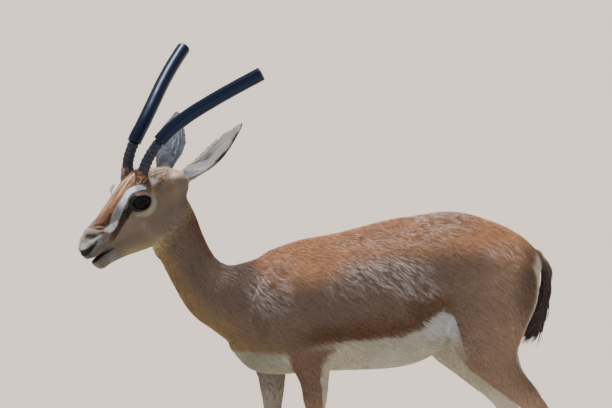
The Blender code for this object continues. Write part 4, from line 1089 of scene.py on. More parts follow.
def blades(name, paths, widths, thickness, outs, colours, rootAt):
    # closed three-sided hairs: each ring of a path has two side points and one raised point, and
    # the path's last point is the tip. The side is along x out, and the width tapers as
    # (1 - share^2), from three quarters at the root.
    count, steps = paths.shape[:2]
    along = unit(np.gradient(paths, axis=1))
    side = unit(np.cross(along, outs[:, None, :]))
    up = np.cross(side, along)
    share = np.linspace(0, 1, steps)[None, :-1, None]
    half = widths[:, None, None] / 2 * (0.75 + 0.6 * share) * (1 - share**2)
    lift = thickness[:, None, None] * (1 - 0.5 * share)
    hair = paths[:, :-1]
    rings = np.stack([
        hair + side[:, :-1] * half - up[:, :-1] * lift * 0.3,
        hair - side[:, :-1] * half - up[:, :-1] * lift * 0.3,
        hair + up[:, :-1] * lift,
    ], 2)
    each = 3 * (steps - 1) + 1
    points = np.concatenate([rings.reshape(count, -1, 3), paths[:, -1:]], 1).reshape(-1, 3)
    quads, tris = [], [(0, 2, 1)]
    for ring in range(steps - 2):
        for j in range(3):
            a, b = ring * 3 + j, ring * 3 + (j + 1) % 3
            quads.append((a, b, b + 3, a + 3))
    last = 3 * (steps - 2)
    tris += [(last + j, last + (j + 1) % 3, each - 1) for j in range(3)]
    base = (np.arange(count) * each)[:, None, None]
    # the first tuft tells whether its faces look out, and all the tufts are built like it
    quads, tris = outward(points[:each], np.array(quads, int).reshape(-1, 4), np.array(tris))[1:]
    allQuads = (quads[None] + base).reshape(-1, 4)
    allTris = (tris[None] + base).reshape(-1, 3)
    made = putMesh(name, points, allQuads, allTris)
    # the tuft darkens to its root and pales to its tip
    ramp = np.concatenate([np.repeat(np.linspace(0.78, 1.05, steps)[:-1], 3), [1.14]])
    paint(made, (colours[:, None, :] * ramp[None, :, None]).reshape(-1, 3))
    patch = np.concatenate([
        np.stack([np.tile([0, 1, 0.5], steps - 1), np.repeat(np.arange(steps - 1) / (steps - 1), 3)], 1),
        [[0.5, 1.0]],
    ]) * tuftPatch
    flatPlace = (rootAt[:, None, :] + patch[None]).reshape(-1, 2)
    index = np.empty(len(made.data.loops), np.int32)
    made.data.loops.foreach_get("vertex_index", index)
    layer = made.data.uv_layers.new(name="OFBake")
    layer.data.foreach_set("uv", flatPlace[index].astype(np.float32).ravel())
    return made


def rootUnwrap(points):
    # the coat's own unwrap: height or length along the form against the angle round it, with the
    # trunk, head and each leg in its own strip
    x, y, z = points.T
    onHead = headShare(points) > 0.5
    q = toHead(points)
    trunk = np.stack([(x + 330) / 740 * 0.49, np.arctan2(y, z - 490) / (2 * np.pi) + 0.5], 1)
    skull = np.stack([0.5 + (q[:, 0] + 120) / 260 * 0.24,
                      np.arctan2(q[:, 1], q[:, 2] + 35) / (2 * np.pi) + 0.5], 1)
    strip = 0.75 + 0.0625 * ((x > 150) * 2 + (y > 0))
    turn = (
        np.arctan2(np.abs(y) - 54, x - np.where(x > 150, 370, -28) - np.where(y > 0, -70, 0)) / (2 * np.pi)
        + 0.5
    )
    leg = np.stack([strip + 0.055 * turn, z / 400 * 0.96], 1)
    flat = np.where((z < 345)[:, None], leg, trunk)
    return np.clip(np.where(onHead[:, None], skull, flat), 0.001, 0.995)


def sampleSkin(draw, keep, perSquareMillimetre):
    # places spread evenly over the skin: equal steps along the running total of face areas,
    # weighted by how many tufts each face asks for
    a, b, c = (skinPoints[skinTris[:, i]] for i in range(3))
    area = np.linalg.norm(np.cross(b - a, c - a), axis=1) / 2
    weight = area * keep[skinTris].mean(1) * perSquareMillimetre
    total = np.cumsum(weight)
    count = int(total[-1])
    pick = np.searchsorted(total, (np.arange(count) + draw.random(count)) / count * total[-1])
    pick = np.clip(pick, 0, len(weight) - 1)
    u, v = draw.random(count), draw.random(count)
    flip = u + v > 1
    u, v = np.where(flip, 1 - u, u), np.where(flip, 1 - v, v)
    place = a[pick] + (b - a)[pick] * u[:, None] + (c - a)[pick] * v[:, None]
    n0, n1, n2 = (skinNormals[skinTris[pick, i]] for i in range(3))
    return place, unit(n0 * (1 - u - v)[:, None] + n1 * u[:, None] + n2 * v[:, None])


def coatLie(points):
    # the way the hair lies: back and down on the trunk, back along the head, down the legs
    x, z = points[:, 0], points[:, 2]
    onHead = headShare(points)[:, None]
    q = toHead(points)
    fall = -0.22 - 0.5 * ease(-z, -600, -520) + 0.25 * ease(-z, -500, -440)
    trunk = np.stack([np.ones(len(x)), 0 * x, fall - 0.16], 1)
    shoulder = (ease(-x, 20, 90) * ease(z, 420, 460))[:, None]
    trunk = trunk * (1 - shoulder) + np.array([0.8, 0, -0.62]) * shoulder
    behind = ease(x, 250, 360)[:, None]
    trunk = trunk * (1 - behind) + np.array([0.45, 0, -0.9]) * behind
    front = (ease(-x, 150, 215) * ease(z, 420, 520))[:, None]
    trunk = trunk * (1 - front) + np.array([0.5, 0, -0.87]) * front
    legs = ease(-z, -420, -340)[:, None]
    trunk = trunk * (1 - legs) + np.array([0.12, 0, -1.0]) * legs
    # soft waves turn neighbouring locks the same way
    swirl = 0.22 * np.sin(x / 11 + z / 17 + 2 * np.sin(z / 23)) + 0.16 * np.sin(x / 5.3 - z / 7.1)
    trunk[:, 2] += swirl * (1 - legs[:, 0]) * (1 - front[:, 0])
    s, c = np.abs(q[:, 1]), q[:, 2]
    upward = ease(c, -15, 15)
    skull = np.stack([-np.ones(len(x)), 0.25 * np.sign(q[:, 1]) * ease(s, 8, 24), -0.25 + 0.5 * upward], 1)
    # round the foot of a horn the hair stands up along it
    foot = hornFoot(q)[:, None]
    skull = (
        skull * (1 - foot) + unit(np.stack([0 * s - 0.67, 0.23 * np.sign(q[:, 1]), 0 * s + 0.70], 1)) * foot
    )
    return unit(trunk * (1 - onHead) + (skull @ headTurn.T) * onHead)


def hornFoot(q):
    # 1 on the fur collar round the foot of either horn, 0 from 21 mm outwards
    place = np.stack([q[:, 0], np.abs(q[:, 1]), q[:, 2]], 1)
    return near(place, horn["path"][0], 15, 21)


def growCoat(label, settings, keep):
    # tufts from root to tip, of one bend or none. Some in the sheen places are painted pale, as a painted
    # highlight.
    draw = np.random.default_rng(settings["seed"])
    place, out = sampleSkin(draw, keep, 1 / (settings["spacing"] * sparse) ** 2)
    count = len(place)
    lie = coatLie(place) + draw.normal(0, settings["stray"], (count, 3))
    lie = unit(lie - out * np.einsum("ij,ij->i", lie, out)[:, None])
    collar = hornFoot(toHead(place)) * headShare(place)
    # shorter where the neck meets the head and in the fold between flank and thigh
    nape = 1 - 0.5 * ease(headShare(place), 0.0, 0.5) * settings["bent"]
    nape *= 1 - 0.5 * spot(place[:, 0], place[:, 2], (226, 446), (60, 90))
    length = (draw.uniform(*settings["length"], count) * (1 + 1.2 * collar) * nape)[:, None]
    width = draw.uniform(*settings["width"], count) * (1 + 0.5 * collar)
    high = settings["rise"] * draw.uniform(0.5, 1.3, count)[:, None]
    steps = [place - out * 0.5, place + lie * length + out * high * 0.6]
    if settings["bent"]:
        steps.insert(1, place + lie * length * 0.45 + out * high)
    paths = np.stack(steps, 1)
    # crests of locks are painted lighter as a painted highlight and the gaps between them darker as painted
    # shade, most in the sheen places
    x, z = place[:, 0], place[:, 2]
    front = ease(-x, 150, 215) * ease(z, 420, 520)
    locks = (
        lockField(place, 32, 5) * (1 - front) + lockField(place, 64, 15) * front
        + draw.normal(0, 0.03, count)
    )
    onTrunk = (1 - ease(headShare(place), 0.0, 0.3)) * ease(z, 440, 480)
    paintedSheen = paintedSheenShare(place) * onTrunk
    bright = 1 + settings["clump"] * 2 * (locks - 0.5) + draw.normal(0, settings["speckle"], count)
    shine = paintedSheen * (0.22 + 0.78 * ease(locks, 0.45, 0.60)) * draw.uniform(0.5, 1.0, count)
    gap = (0.18 * onTrunk + 0.12 * front * onTrunk + 0.6 * paintedSheen) * ease(-locks, -0.46, -0.34)
    colours = (
        mixed(mixed(furColour(place, out), "paintedSheen", shine * 0.9), "lockGapShade", gap * 0.7) * bright[:, None]
    )
    order = np.argsort(x + 3 * headShare(place), kind="stable")
    made = []
    for part, chosen in enumerate(np.array_split(order, settings["pieces"])):
        made.append(blades(
            label + "_" + str(part + 1), paths[chosen], width[chosen],
            np.full(len(chosen), settings["thick"]),
            out[chosen], colours[chosen], rootUnwrap(place[chosen]),
        ))
    print(label, count, "tufts")
    return made


coatTufts = furMaterial("short coat hair", 0.10, 0.35)
onHeadSkin = headShare(skinPoints)
legSkin = ease(-skinPoints[:, 2], -345, -300) * (1 - onHeadSkin)
legKeep = legSkin * ease(skinPoints[:, 2], 24, 32)
headPlace = toHead(skinPoints)


def eyeClear(q):
    # 0 over the eyes, their lids and the wet nose, 1 elsewhere
    clear = np.ones(len(q))
    for side in (left, right):
        centre, facing, ahead, up = eyeAxes(side)
        r = q - centre
        oval = np.sqrt((r @ ahead / eye["opening"][0]) ** 2 + (r @ up / eye["opening"][1]) ** 2)
        clear *= 1 - (r @ facing > 0) * ease(-oval, -1.34, -1.22)
        mirroredQ = q * np.array([1, side, 1])
        for name, wide in (("nostril", 1.2), ("foldUpper", 0.9), ("foldMiddle", 0.9)):
            gap, width = lineDistance(mirroredQ, *marks[name])
            clear *= ease(gap - width * wide, -0.5, 1.0)
        gap, width = lineDistance(mirroredQ, *marks["mouth"])
        clear *= ease(gap, 1.5, 3.0)
    return clear


print("growing the coat")
sparse = 1.0
coatSettings = {
    "trunk": {"seed": 11, "spacing": 2.35, "stray": 0.07, "length": (12, 19), "width": (0.9, 1.5),
              "rise": 1.5,
              "bent": True, "clump": 0.25, "speckle": 0.09, "thick": 0.40, "pieces": 6},
    "leg": {"seed": 12, "spacing": 1.8, "stray": 0.10, "length": (6, 9), "width": (0.8, 1.2), "rise": 0.8,
            "bent": False, "clump": 0.05, "speckle": 0.06, "thick": 0.40, "pieces": 2},
    "head": {"seed": 13, "spacing": 1.35, "stray": 0.10, "length": (3.6, 6), "width": (0.55, 0.9),
             "rise": 0.6,
             "bent": False, "clump": 0.04, "speckle": 0.07, "thick": 0.32, "pieces": 2},
}
headKeep = onHeadSkin * eyeClear(headPlace)
trunkKeep = (1 - onHeadSkin) * (1 - legSkin)
for name, keep in (("trunk", trunkKeep), ("leg", legKeep), ("head", headKeep)):
    for piece in growCoat("coat_" + name, coatSettings[name], keep):
        finished(piece, coatTufts)


# Eyes: a nearly black ball with a painted slate reflection on its upper half and a level oval pupil, under
# a dark lid rim.
def eyeball(side):
    # a sphere about the way the eye faces, raised in front by 1.0 exp(-(angle / 0.55)^2) mm
    centre, facing, ahead, up = eyeAxes(side)
    polar = np.linspace(0, np.pi, 50)[1:-1, None, None]
    turn = np.linspace(0, 2 * np.pi, 64, endpoint=False)[None, :, None]
    reach = eye["radius"] - 0.6 + 1.0 * np.exp(-((polar / 0.55) ** 2))
    grid = (
        centre
        + reach * (np.sin(polar) * (ahead * np.cos(turn) + up * np.sin(turn)) + np.cos(polar) * facing)
    )
    front, behind = centre + facing * (eye["radius"] + 0.4), centre - facing * (eye["radius"] - 0.6)
    points, quads, tris = closedTube(fromHead(grid), fromHead(front), fromHead(behind))
    made = putMesh("eyeball_" + ("left" if side == left else "right"), points, quads, tris)
    r = toHead(drawnPoints(made.data)) - centre
    x, y = r @ ahead, r @ up
    iris = ease(12.0 - np.hypot(x, y), -1.0, 1.0)[:, None]
    pupil = ease(1 - np.hypot(x / 7.5, y / 4.4), -0.12, 0.12)[:, None]
    colour = linear("#060607") + (linear("#0f0c0b") - linear("#060607")) * iris
    # painted reflection: the upper half of the ball is painted slate grey
    colour = colour + (linear("#23262c") - colour) * (0.8 * ease(y, 0, 8))[:, None]
    paint(made, colour + (linear("#050506") - colour) * pupil * 0.7)
    return made


eyeGloss, tree, shader = newMaterial("wet clear cornea over dark brown iris", {
    # water-thin gloss over a nearly black iris: one sharp highlight and a dark ball
    "Roughness": 0.30, "IOR": 1.38, "Specular IOR Level": 0.05, "Coat Weight": 0.16, "Coat Roughness": 0.05,
    "Coat IOR": 1.38, "Coat Tint": rgba("#a9bcdc"),
})
tint = addNode(tree, "ShaderNodeAttribute", {"attribute_name": "furTint"})
tree.links.new(tint.outputs["Color"], shader.inputs["Base Color"])
# bare dark lid skin, moist from tears: darker than the fur, with a soft shine
lidSkin, tree, shader = newMaterial("moist bare lid skin",
        {"Base Color": rgba("#080706"), "Roughness": 0.55, "Specular IOR Level": 0.25})
for side, nodeName in ((left, "eye_left"), (right, "eye_right")):
    finished(eyeball(side), eyeGloss, (nodeName,))
    angle = np.linspace(0, 2 * np.pi, 96, endpoint=False)
    ring = eyeOval(side, angle, 0.5, 0.5)
    along = unit(np.roll(ring, -1, axis=0) - np.roll(ring, 1, axis=0))
    out = unit(np.cross(along, eyeAxes(side)[1]))
    turn = np.linspace(0, 2 * np.pi, 12, endpoint=False)
    thick = 1.4 - 0.3 * np.sin(angle)[:, None, None]
    lid = ring[:, None] + thick * (
        out[:, None] * np.cos(turn)[None, :, None]
        + np.cross(out, along)[:, None] * np.sin(turn)[None, :, None]
    )
    finished(putMesh("lid_rim_" + nodeName, *closedRing(fromHead(lid))), lidSkin)
    draw = np.random.default_rng(31)
    lashAngle = np.linspace(np.radians(18), np.radians(158), 44) + draw.normal(0, 0.02, 44)
    root = eyeOval(side, lashAngle, 1.2, 1.2)
    centre, facing, ahead, up = eyeAxes(side)
    away = unit(root - centre)
    droop = unit(facing * 0.8 + up * 0.25 + ahead * np.cos(lashAngle)[:, None] * 0.35)
    length = draw.uniform(5.5, 8.0, 44)[:, None]
    lashes = np.stack([
        root - away * 0.8, root + droop * length * 0.4 + up * 0.8, root + droop * length * 0.8,
        root + droop * length - up * 1.0,
    ], 1)
    lashColour = np.tile(linear("#1a1310"), (44, 1))
    lashPiece = blades(
        "lashes_" + nodeName, fromHead(lashes), np.full(44, 0.55), np.full(44, 0.3),
        np.tile(up @ headTurn.T, (44, 1)), lashColour, rootUnwrap(fromHead(root)),
    )
    finished(lashPiece, coatTufts)


# Ears: a leaf-shaped cup on each side, with white hair in rows inside.
def earSurface(side, s, turn, layer):
    # the wall point at share s of the length and at an angle round the cup. Layer 0 is the outer
    # wall and 1 the hollow. half width and depth follow one leaf shape, and the cup fades in.
    root, reach = mirrored(face["earRoot"], side), np.array(ear["tips"][side], float)
    along = unit(reach)
    opens = np.array(ear["opens"][side], float)
    opens = unit(opens - along * (opens @ along))
    across = np.cross(along, opens)
    half = (
        np.interp(s, [0, 0.12, 0.3, 0.5, 0.7, 0.86, 1], [0.56, 0.66, 0.92, 1.0, 0.74, 0.38, 0.05])
        * ear["halfWidth"]
    )
    deep = np.interp(s, [0, 0.15, 0.35, 0.6, 0.85, 1], [0.92, 1.0, 0.95, 0.7, 0.35, 0.06]) * ear["depth"]
    cup = np.interp(s, [0, 0.10, 0.30, 1], [0.0, 0.15, 1.0, 1.0])
    wall = ear["wall"] * (1 - 0.55 * s)
    middle = (
        root + along * (np.linalg.norm(reach) * s)[..., None]
        - opens * (ear["bow"] * np.sin(np.pi * s))[..., None]
    )
    w = np.where(layer == 0, half, np.maximum(half - wall, half * 0.45))
    d = np.where(layer == 0, deep, np.maximum(deep - wall, deep * 0.3))
    hollow = -d * np.cos(turn)
    # below the cup the inner side is rounded: it stands out by the swell times the cosine
    raised = (0.18 + 0.6 * (1 - cup)) * deep * np.maximum(0, np.cos(turn))
    depthAt = np.where(layer == 0, hollow, hollow * cup + raised * (1 - cup))
    # two shallow furrows run along the upper half of the hollow
    furrow = np.exp(-((turn * -side - 0.62) / 0.11) ** 2) + np.exp(-((turn * -side - 1.0) / 0.10) ** 2)
    depthAt = depthAt - np.where(layer == 0, 0, 0.7 * furrow) * ease(s, 0.02, 0.10) * ease(-s, -0.55, -0.35)
    return (
        middle + across * (w * np.sin(turn))[..., None] + opens * depthAt[..., None], along, opens, across
    )


def buildEar(side, nodeName):
    # the outer wall and the hollow, from earSurface, joined at both edges and closed at the ends
    steps, around = 44, 30
    s = np.linspace(0, 1, steps)[:, None] * np.ones(around)
    turn = np.radians(np.linspace(-ear["spread"], ear["spread"], around))[None, :] * np.ones((steps, 1))
    outer, inner = (earSurface(side, s, turn, layer)[0] for layer in (0, 1))
    grid = np.concatenate([outer, inner[:, ::-1]], axis=1)
    points, quads, tris = closedTube(fromHead(grid))
    made = putMesh("ear_shell_" + nodeName, points, quads, tris)
    ringShare = np.concatenate([s, s[:, ::-1]], 1).reshape(-1)
    ringTurn = np.concatenate([turn, turn[:, ::-1]], 1).reshape(-1)
    isIn = np.concatenate([0 * s, 1 + 0 * s], 1).reshape(-1)
    colour = earColour(ringShare, ringTurn, isIn, side)
    colour = np.concatenate([colour, colour[:1], colour[-1:]])
    paint(made, colour)
    return made


earTones = {
    "back": "#7f7870", "backTip": "#6f6257", "hollow": "#eef2f5", "deep": "#8f8c88", "furrow": "#1c1815",
    "rim": "#d3d6d8", "lowRim": "#33271f", "tip": "#46392f", "farHollowShade": "#66758c", "farFleck": "#aeb8c8",
    "baseWhite": "#e4eefa",
}


def earColour(s, turn, inside, side):
    # pale grey hollow with two dark furrows above, painted shade darkening it towards its lower edge, a
    # fawn-grey back, brown patches on the lower rim. The far ear is painted in shade: slate grey, flecked
    # paler towards its rear edge.
    # t is 1.7 at the upper edge of the near ear and at the rear edge of the far one.
    shade = {name: linear(value) for name, value in earTones.items()}
    t = turn * -side
    grain = cloudy(np.stack([s * 14, t * 11, 0 * s], 1), (1, 1, 1), 33 + side)
    back = shade["back"] + (shade["backTip"] - shade["back"]) * ease(s, 0.2, 0.9)[:, None]
    if side == left:
        # painted shade: the hollow darkens towards its lower edge and towards the tip
        paintedHollowShade = ease(-t, -0.5, 0.7) * (0.4 + 0.6 * ease(grain, 0.35, 0.65)) + 0.3 * ease(s, 0.5, 0.9)
        hollow = shade["hollow"] + (shade["deep"] - shade["hollow"]) * paintedHollowShade[:, None]
        furrow = np.maximum(np.exp(-((t - 0.62) / 0.15) ** 2), np.exp(-((t - 1.0) / 0.13) ** 2))
        furrow = furrow * ease(-s, -0.46, -0.28)
        lowBase = ease(-t, -0.2, 0.6) * ease(-s, -0.50, -0.18) * 0.85
        hollow = hollow + (shade["baseWhite"] - hollow) * lowBase[:, None]
        hollow = hollow + (shade["furrow"] - hollow) * furrow[:, None]
    else:
        # painted shade: the far ear's hollow is slate grey
        fleck = ease(grain, 0.5, 0.72) * ease(s, 0.25, 0.5) * ease(t, -0.8, 0.6) * 0.85
        fleck = np.maximum(fleck, ease(s, 0.62, 0.92) * 0.6 * ease(-t, -0.4, 0.8))
        hollow = shade["farHollowShade"] + (shade["farFleck"] - shade["farHollowShade"]) * fleck[:, None]
    colour = back + (hollow - back) * inside[:, None]
    rim = ease(np.abs(turn), 1.35, 1.65) * ease(s, 0.10, 0.3)
    if side == left:
        colour = colour + (shade["rim"] - colour) * (rim * 0.75)[:, None]
        patches = (
            ease(s, 0.40, 0.45) * ease(-s, -0.66, -0.58) + ease(s, 0.74, 0.78) * ease(-s, -0.92, -0.86)
        )
        low = ease(-t, 0.3, 0.8) * patches
        colour = colour + (shade["lowRim"] - colour) * (low * 0.9)[:, None]
    return colour + (shade["tip"] - colour) * (ease(s, 0.92, 0.99) * 0.7)[:, None]


def earHair(side, nodeName, seed):
    # hairs rooted on the ear's walls, each a short path along the ear and a little outwards
    draw = np.random.default_rng(seed)
    parts = []
    # long white rows in the hollow, short hair on the back, a fringe on both edges
    rows = np.radians([-80, -64, -50, -38, -26, -14, -2, 10, 22, 46, 72, 84]) * -side
    for layer, count, sRange, lengths, widths, tilt in (
        (1, 1500, (0.02, 0.86), (9, 17), (0.6, 1.0), 0.06),
        (0, 1700, (0.02, 0.97), (5, 8), (0.6, 1.0), 0.05),
        (2, 420, (0.05, 0.98), (4.0, 7), (0.5, 0.8), 0.35),
        (3, 300, (0.0, 0.10), (10, 17), (0.8, 1.3), 0.2),
    ):
        s = draw.uniform(*sRange, count)
        if layer == 1:
            turn = draw.choice(rows, count) + draw.normal(0, 0.06, count)
        elif layer == 2:
            turn = np.where(draw.random(count) < 0.5, -1, 1) * np.radians(99)
        else:
            turn = np.radians(draw.uniform(-97, 97, count))
        place, along, opens, across = earSurface(side, s, turn, np.where(layer in (1, 3), 1, 0))
        length = draw.uniform(*lengths, count)[:, None] * (1 - 0.55 * ease(s, 0.55, 1.0))[:, None]
        if layer == 2 and side == left:
            length = length * (1 + 0.9 * ease(turn * side, 0, 1) * ease(-s, -0.7, -0.4))[:, None]
        outwardWay = opens * (np.where(layer in (1, 3), 1.0, -np.cos(turn)))[..., None] + across * (
            np.where(layer in (1, 3), -0.5, 1.0) * np.sin(turn))[..., None]
        outwardWay = unit(outwardWay)
        loose = 0.03 if layer == 1 else 0.06
        lean = (
            along + outwardWay * tilt + across * (np.sin(turn) * -0.12 * s)[:, None]
            + draw.normal(0, loose, (count, 3))
        )
        if layer == 2:
            lean = (
                along * 0.9 + across * (np.sign(turn) * 0.30)[:, None]
                + opens * draw.normal(0.1, 0.15, count)[:, None]
            )
        lean = unit(lean)
        high = outwardWay * (0.9 if layer in (1, 3) else 0.4)
        paths = np.stack([
            place - outwardWay * 0.3, place + lean * length * 0.35 + high,
            place + lean * length * 0.7 + high * 1.2, place + lean * length + high * 0.4,
        ], 1)
        colour = earColour(s, turn, np.full(count, float(layer in (1, 2, 3))), side)
        colour = colour * (1 + draw.normal(0, 0.10, count))[:, None]
        parts.append((fromHead(paths), draw.uniform(*widths, count), outwardWay @ headTurn.T, colour, s,
                      turn, layer))
    paths, width, outs, colour = (np.concatenate([p[i] for p in parts]) for i in range(4))
    flat = np.concatenate([np.stack([p[4] * 0.45 + 0.02 + 0.5 * (p[6] in (1, 3)), (p[5] + 1.75) / 3.6],
                                    1) for p in parts])
    return blades("ear_hair_" + nodeName, paths, width, np.full(len(width), 0.35), outs, colour, flat)


print("building the ears")
earFur = furMaterial("fine ear fur", 0.12, 0.4)
for side, nodeName in ((left, "ear_left"), (right, "ear_right")):
    finished(buildEar(side, nodeName), earFur, (nodeName,))
    finished(earHair(side, nodeName, 40 + side), earFur)


# Horns: ringed dark keratin, with a black hose pushed over each one.
def hornLine(side, shares):
    # the horn's smooth middle line, read at shares of its length
    return evenPath([mirrored(p, side) for p in horn["path"]], shares)


def hornRadius(share):
    # root + (tip - root) x share to the power 1.3
    return horn["rootRadius"] + (horn["tipRadius"] - horn["rootRadius"]) * np.asarray(share) ** 1.3


def buildHorn(side, nodeName):
    # rings: radius + height x (sin^2)^0.7 over the part that shows, stronger on the front,
    # with fine lengthwise grooves from two sines of the angle
    shown = sleeve["from"][side] * 0.96
    shares = np.concatenate([np.linspace(0, shown, 110), np.linspace(shown + 0.02, horn["end"], 24)])
    path = hornLine(side, shares)
    length = np.linalg.norm(np.diff(path[:110], axis=0), axis=1).sum()
    count = round(length / horn["ringSpacing"])
    around = 56
    angle = np.linspace(0, 2 * np.pi, around, endpoint=False)[None, :]
    tilt = 0.002 * np.sin(angle)
    wave = np.sin(np.pi * np.clip((shares[:, None] + tilt) / shown, 0, 1) * count) ** 2
    grooves = 0.14 * np.sin(angle * 17 + shares[:, None] * 40) + 0.08 * np.sin(angle * 29)
    uneven = 0.75 + 0.3 * np.sin(shares[:, None] * 83) + 0.15 * np.sin(angle + shares[:, None] * 150)
    bump = (horn["ringHeight"] * uneven * wave**0.7 + 0.5) * (shares[:, None] < shown)
    radius = hornRadius(shares)[:, None] + bump * (0.8 + 0.2 * np.cos(angle)) + grooves
    tube = roundTube(path, np.ones(len(shares)), around)
    grid = path[:, None] + (tube - path[:, None]) * radius[..., None]
    return putMesh("horn_core_" + nodeName, *closedTube(fromHead(grid)))


def buildSleeve(side, nodeName):
    # a tube whose section runs along the outside, rounds each cut end by 0.5 mm, and returns
    # along the bore. Slight swells of 0.25 mm sit where the hose grips the horn.
    start, around = sleeve["from"][side], 72
    shares = np.concatenate([start + np.array([0, 0.0015, 0.004]), np.linspace(start + 0.010, 0.990, 90),
                             [0.996, 0.9985, 1.0]])
    path = hornLine(side, shares)
    grips = [0.030, 0.052, 0.074] if side == right else [0.035]
    swell = (
        sum(0.3 * np.exp(-(((shares - start - at) / 0.006) ** 2)) for at in grips)
        + 0.08 * np.sin(shares * 61)
    )
    edge = np.minimum(np.arange(len(shares)), np.arange(len(shares))[::-1])
    rounded = np.interp(edge, [0, 1, 2, 3], [0.55, 0.18, 0.0, 0.0])
    outside = roundTube(path, sleeve["radius"] + swell - rounded, around)
    inside = roundTube(path,
                       hornRadius(shares) + sleeve["fit"] + np.interp(edge, [0, 1, 2], [0.4, 0.1, 0.0]),
                       around)
    made = putMesh("hose_" + nodeName, *closedRing(fromHead(np.concatenate([outside, inside[::-1]]))))
    # faint lengthwise streaks from the die and scuffs, painted bluish as a reflected sheen of light, and
    # paler along both cut rims
    turn = np.linspace(0, 2 * np.pi, around, endpoint=False)[None, :]
    dieStreakSheen = (
        0.5 + 0.3 * np.sin(turn * 11 + 1.5 * np.sin(shares[:, None] * 9))
        + 0.2 * np.sin(turn * 23 + shares[:, None] * 31)
    )
    shine = linear("#07090e") + (linear("#182130") - linear("#07090e")) * dieStreakSheen[..., None]
    shine = shine + (linear("#23262d") - shine) * np.interp(edge, [0, 2, 4], [0.8, 0.5, 0.0])[:, None, None]
    # painted shade: the bore is painted at 0.4 of the outside
    paint(made, np.concatenate([shine, 0.4 * shine[::-1]]).reshape(-1, 3))
    return made


print("building the horns")
# grown keratin, ground by rubbing: dark, with a low shine that catches on the rings
keratin, tree, shader = newMaterial("dark ringed horn keratin", {
    "Roughness": 0.45, "IOR": 1.54, "Specular Tint": rgba("#c3d0f2"),
})
where = addNode(tree, "ShaderNodeTexCoord")
stretch = addNode(tree, "ShaderNodeMapping", {"Scale": (900, 900, 260)},
                  {"Vector": where.outputs["Object"]})
grain = addNode(tree, "ShaderNodeTexNoise", {"Scale": 1.0, "Detail": 4.0},
                {"Vector": stretch.outputs["Vector"]})
ramp = addNode(tree, "ShaderNodeValToRGB", {}, {"Fac": grain.outputs["Fac"]})
ramp.color_ramp.elements[0].color, ramp.color_ramp.elements[1].color = rgba("#121419"), rgba("#31363f")
ramp.color_ramp.elements[0].position, ramp.color_ramp.elements[1].position = 0.3, 0.75
tree.links.new(ramp.outputs["Color"], shader.inputs["Base Color"])
bump = addNode(tree, "ShaderNodeBump", {"Strength": 0.5, "Distance": 0.0004},
               {"Height": grain.outputs["Fac"]})
tree.links.new(bump.outputs["Normal"], shader.inputs["Normal"])
# extruded black rubber hose: satin skin with faint lengthwise streaks from the die, painted bluish as a
# reflected sheen, and paler cut rims
rubber, tree, shader = newMaterial("extruded black rubber hose", {
    "Roughness": 0.36, "IOR": 1.52, "Specular IOR Level": 0.5, "Specular Tint": rgba("#88aaf5"),
})
tint = addNode(tree, "ShaderNodeAttribute", {"attribute_name": "furTint"})
tree.links.new(tint.outputs["Color"], shader.inputs["Base Color"])
where = addNode(tree, "ShaderNodeTexCoord")
fine = addNode(tree, "ShaderNodeTexNoise", {"Scale": 900.0, "Detail": 2.0},
               {"Vector": where.outputs["Object"]})
bump = addNode(tree, "ShaderNodeBump", {"Strength": 0.2, "Distance": 0.0002},
               {"Height": fine.outputs["Fac"]})
tree.links.new(bump.outputs["Normal"], shader.inputs["Normal"])
for side, word in ((left, "left"), (right, "right")):
    finished(buildHorn(side, word), keratin, ("horn_" + word,))
    finished(buildSleeve(side, word), rubber, ("horn_sleeve_" + word,))

# Hooves: two pointed claws a foot, flat inside and level below, with dewclaws behind.
hooves = {
    "fore": (-74, -24, 52), "hind": (340, 390, 56), "width": 14, "gap": 1.0, "high": 26.85,
    "dewclaw": (5.5, 4.2, 7.0),
}


def clawGrid(toe, heel, inner, outer):
    # rings of one claw: straight inner side, and an outer side that swells from a pointed toe
    # as sin(pi t / 1.24) and narrows again behind. The bottom edge is rounded by 0.6 mm.
    levels = np.array([(0.0, 0.93, 0.0), (0.7, 1.0, 0.0), (3.0, 1.0, 0.0), (8.0, 0.965, 0.1),
                       (14.0, 0.90, 0.28),
                       (20.0, 0.83, 0.44), (24.5, 0.78, 0.56), (26.3, 0.75, 0.61),
                       (hooves["high"], 0.66, 0.63)])
    levels = np.stack([np.interp(np.linspace(0, 1, 34), np.linspace(0, 1, len(levels)),
                                 levels[:, i]) for i in range(3)], 1)
    height, share, lean = (levels[:, i, None] for i in range(3))
    # growth rings, 0.12 mm deep, run round the wall
    share = share * (1 + 0.012 * np.sin(height * 2.4))
    length = (heel - toe) * (1 - 0.36 * lean)
    start = toe + (heel - toe) * 0.34 * lean
    t = np.linspace(0, 1, 24)[None, :]
    back = t[:, ::-1][:, 1:-1]
    bulge = np.where(back < 0.62, np.sin(np.pi * np.minimum(1, back * 0.5 / 0.62)),
                     1 - 0.9 * (np.maximum(0, back - 0.62) / 0.38) ** 2.2)
    x = np.concatenate([start + length * t, start + length * back], 1)
    soften = 0.10 * (1 - np.sin(np.pi * t) ** 0.3)
    y = np.concatenate([inner + (outer - inner) * soften * share,
                        inner + (outer - inner) * share * np.maximum(0.10, bulge)], 1)
    return np.stack([x, y, height * np.ones_like(x)], -1)


print("building the hooves")
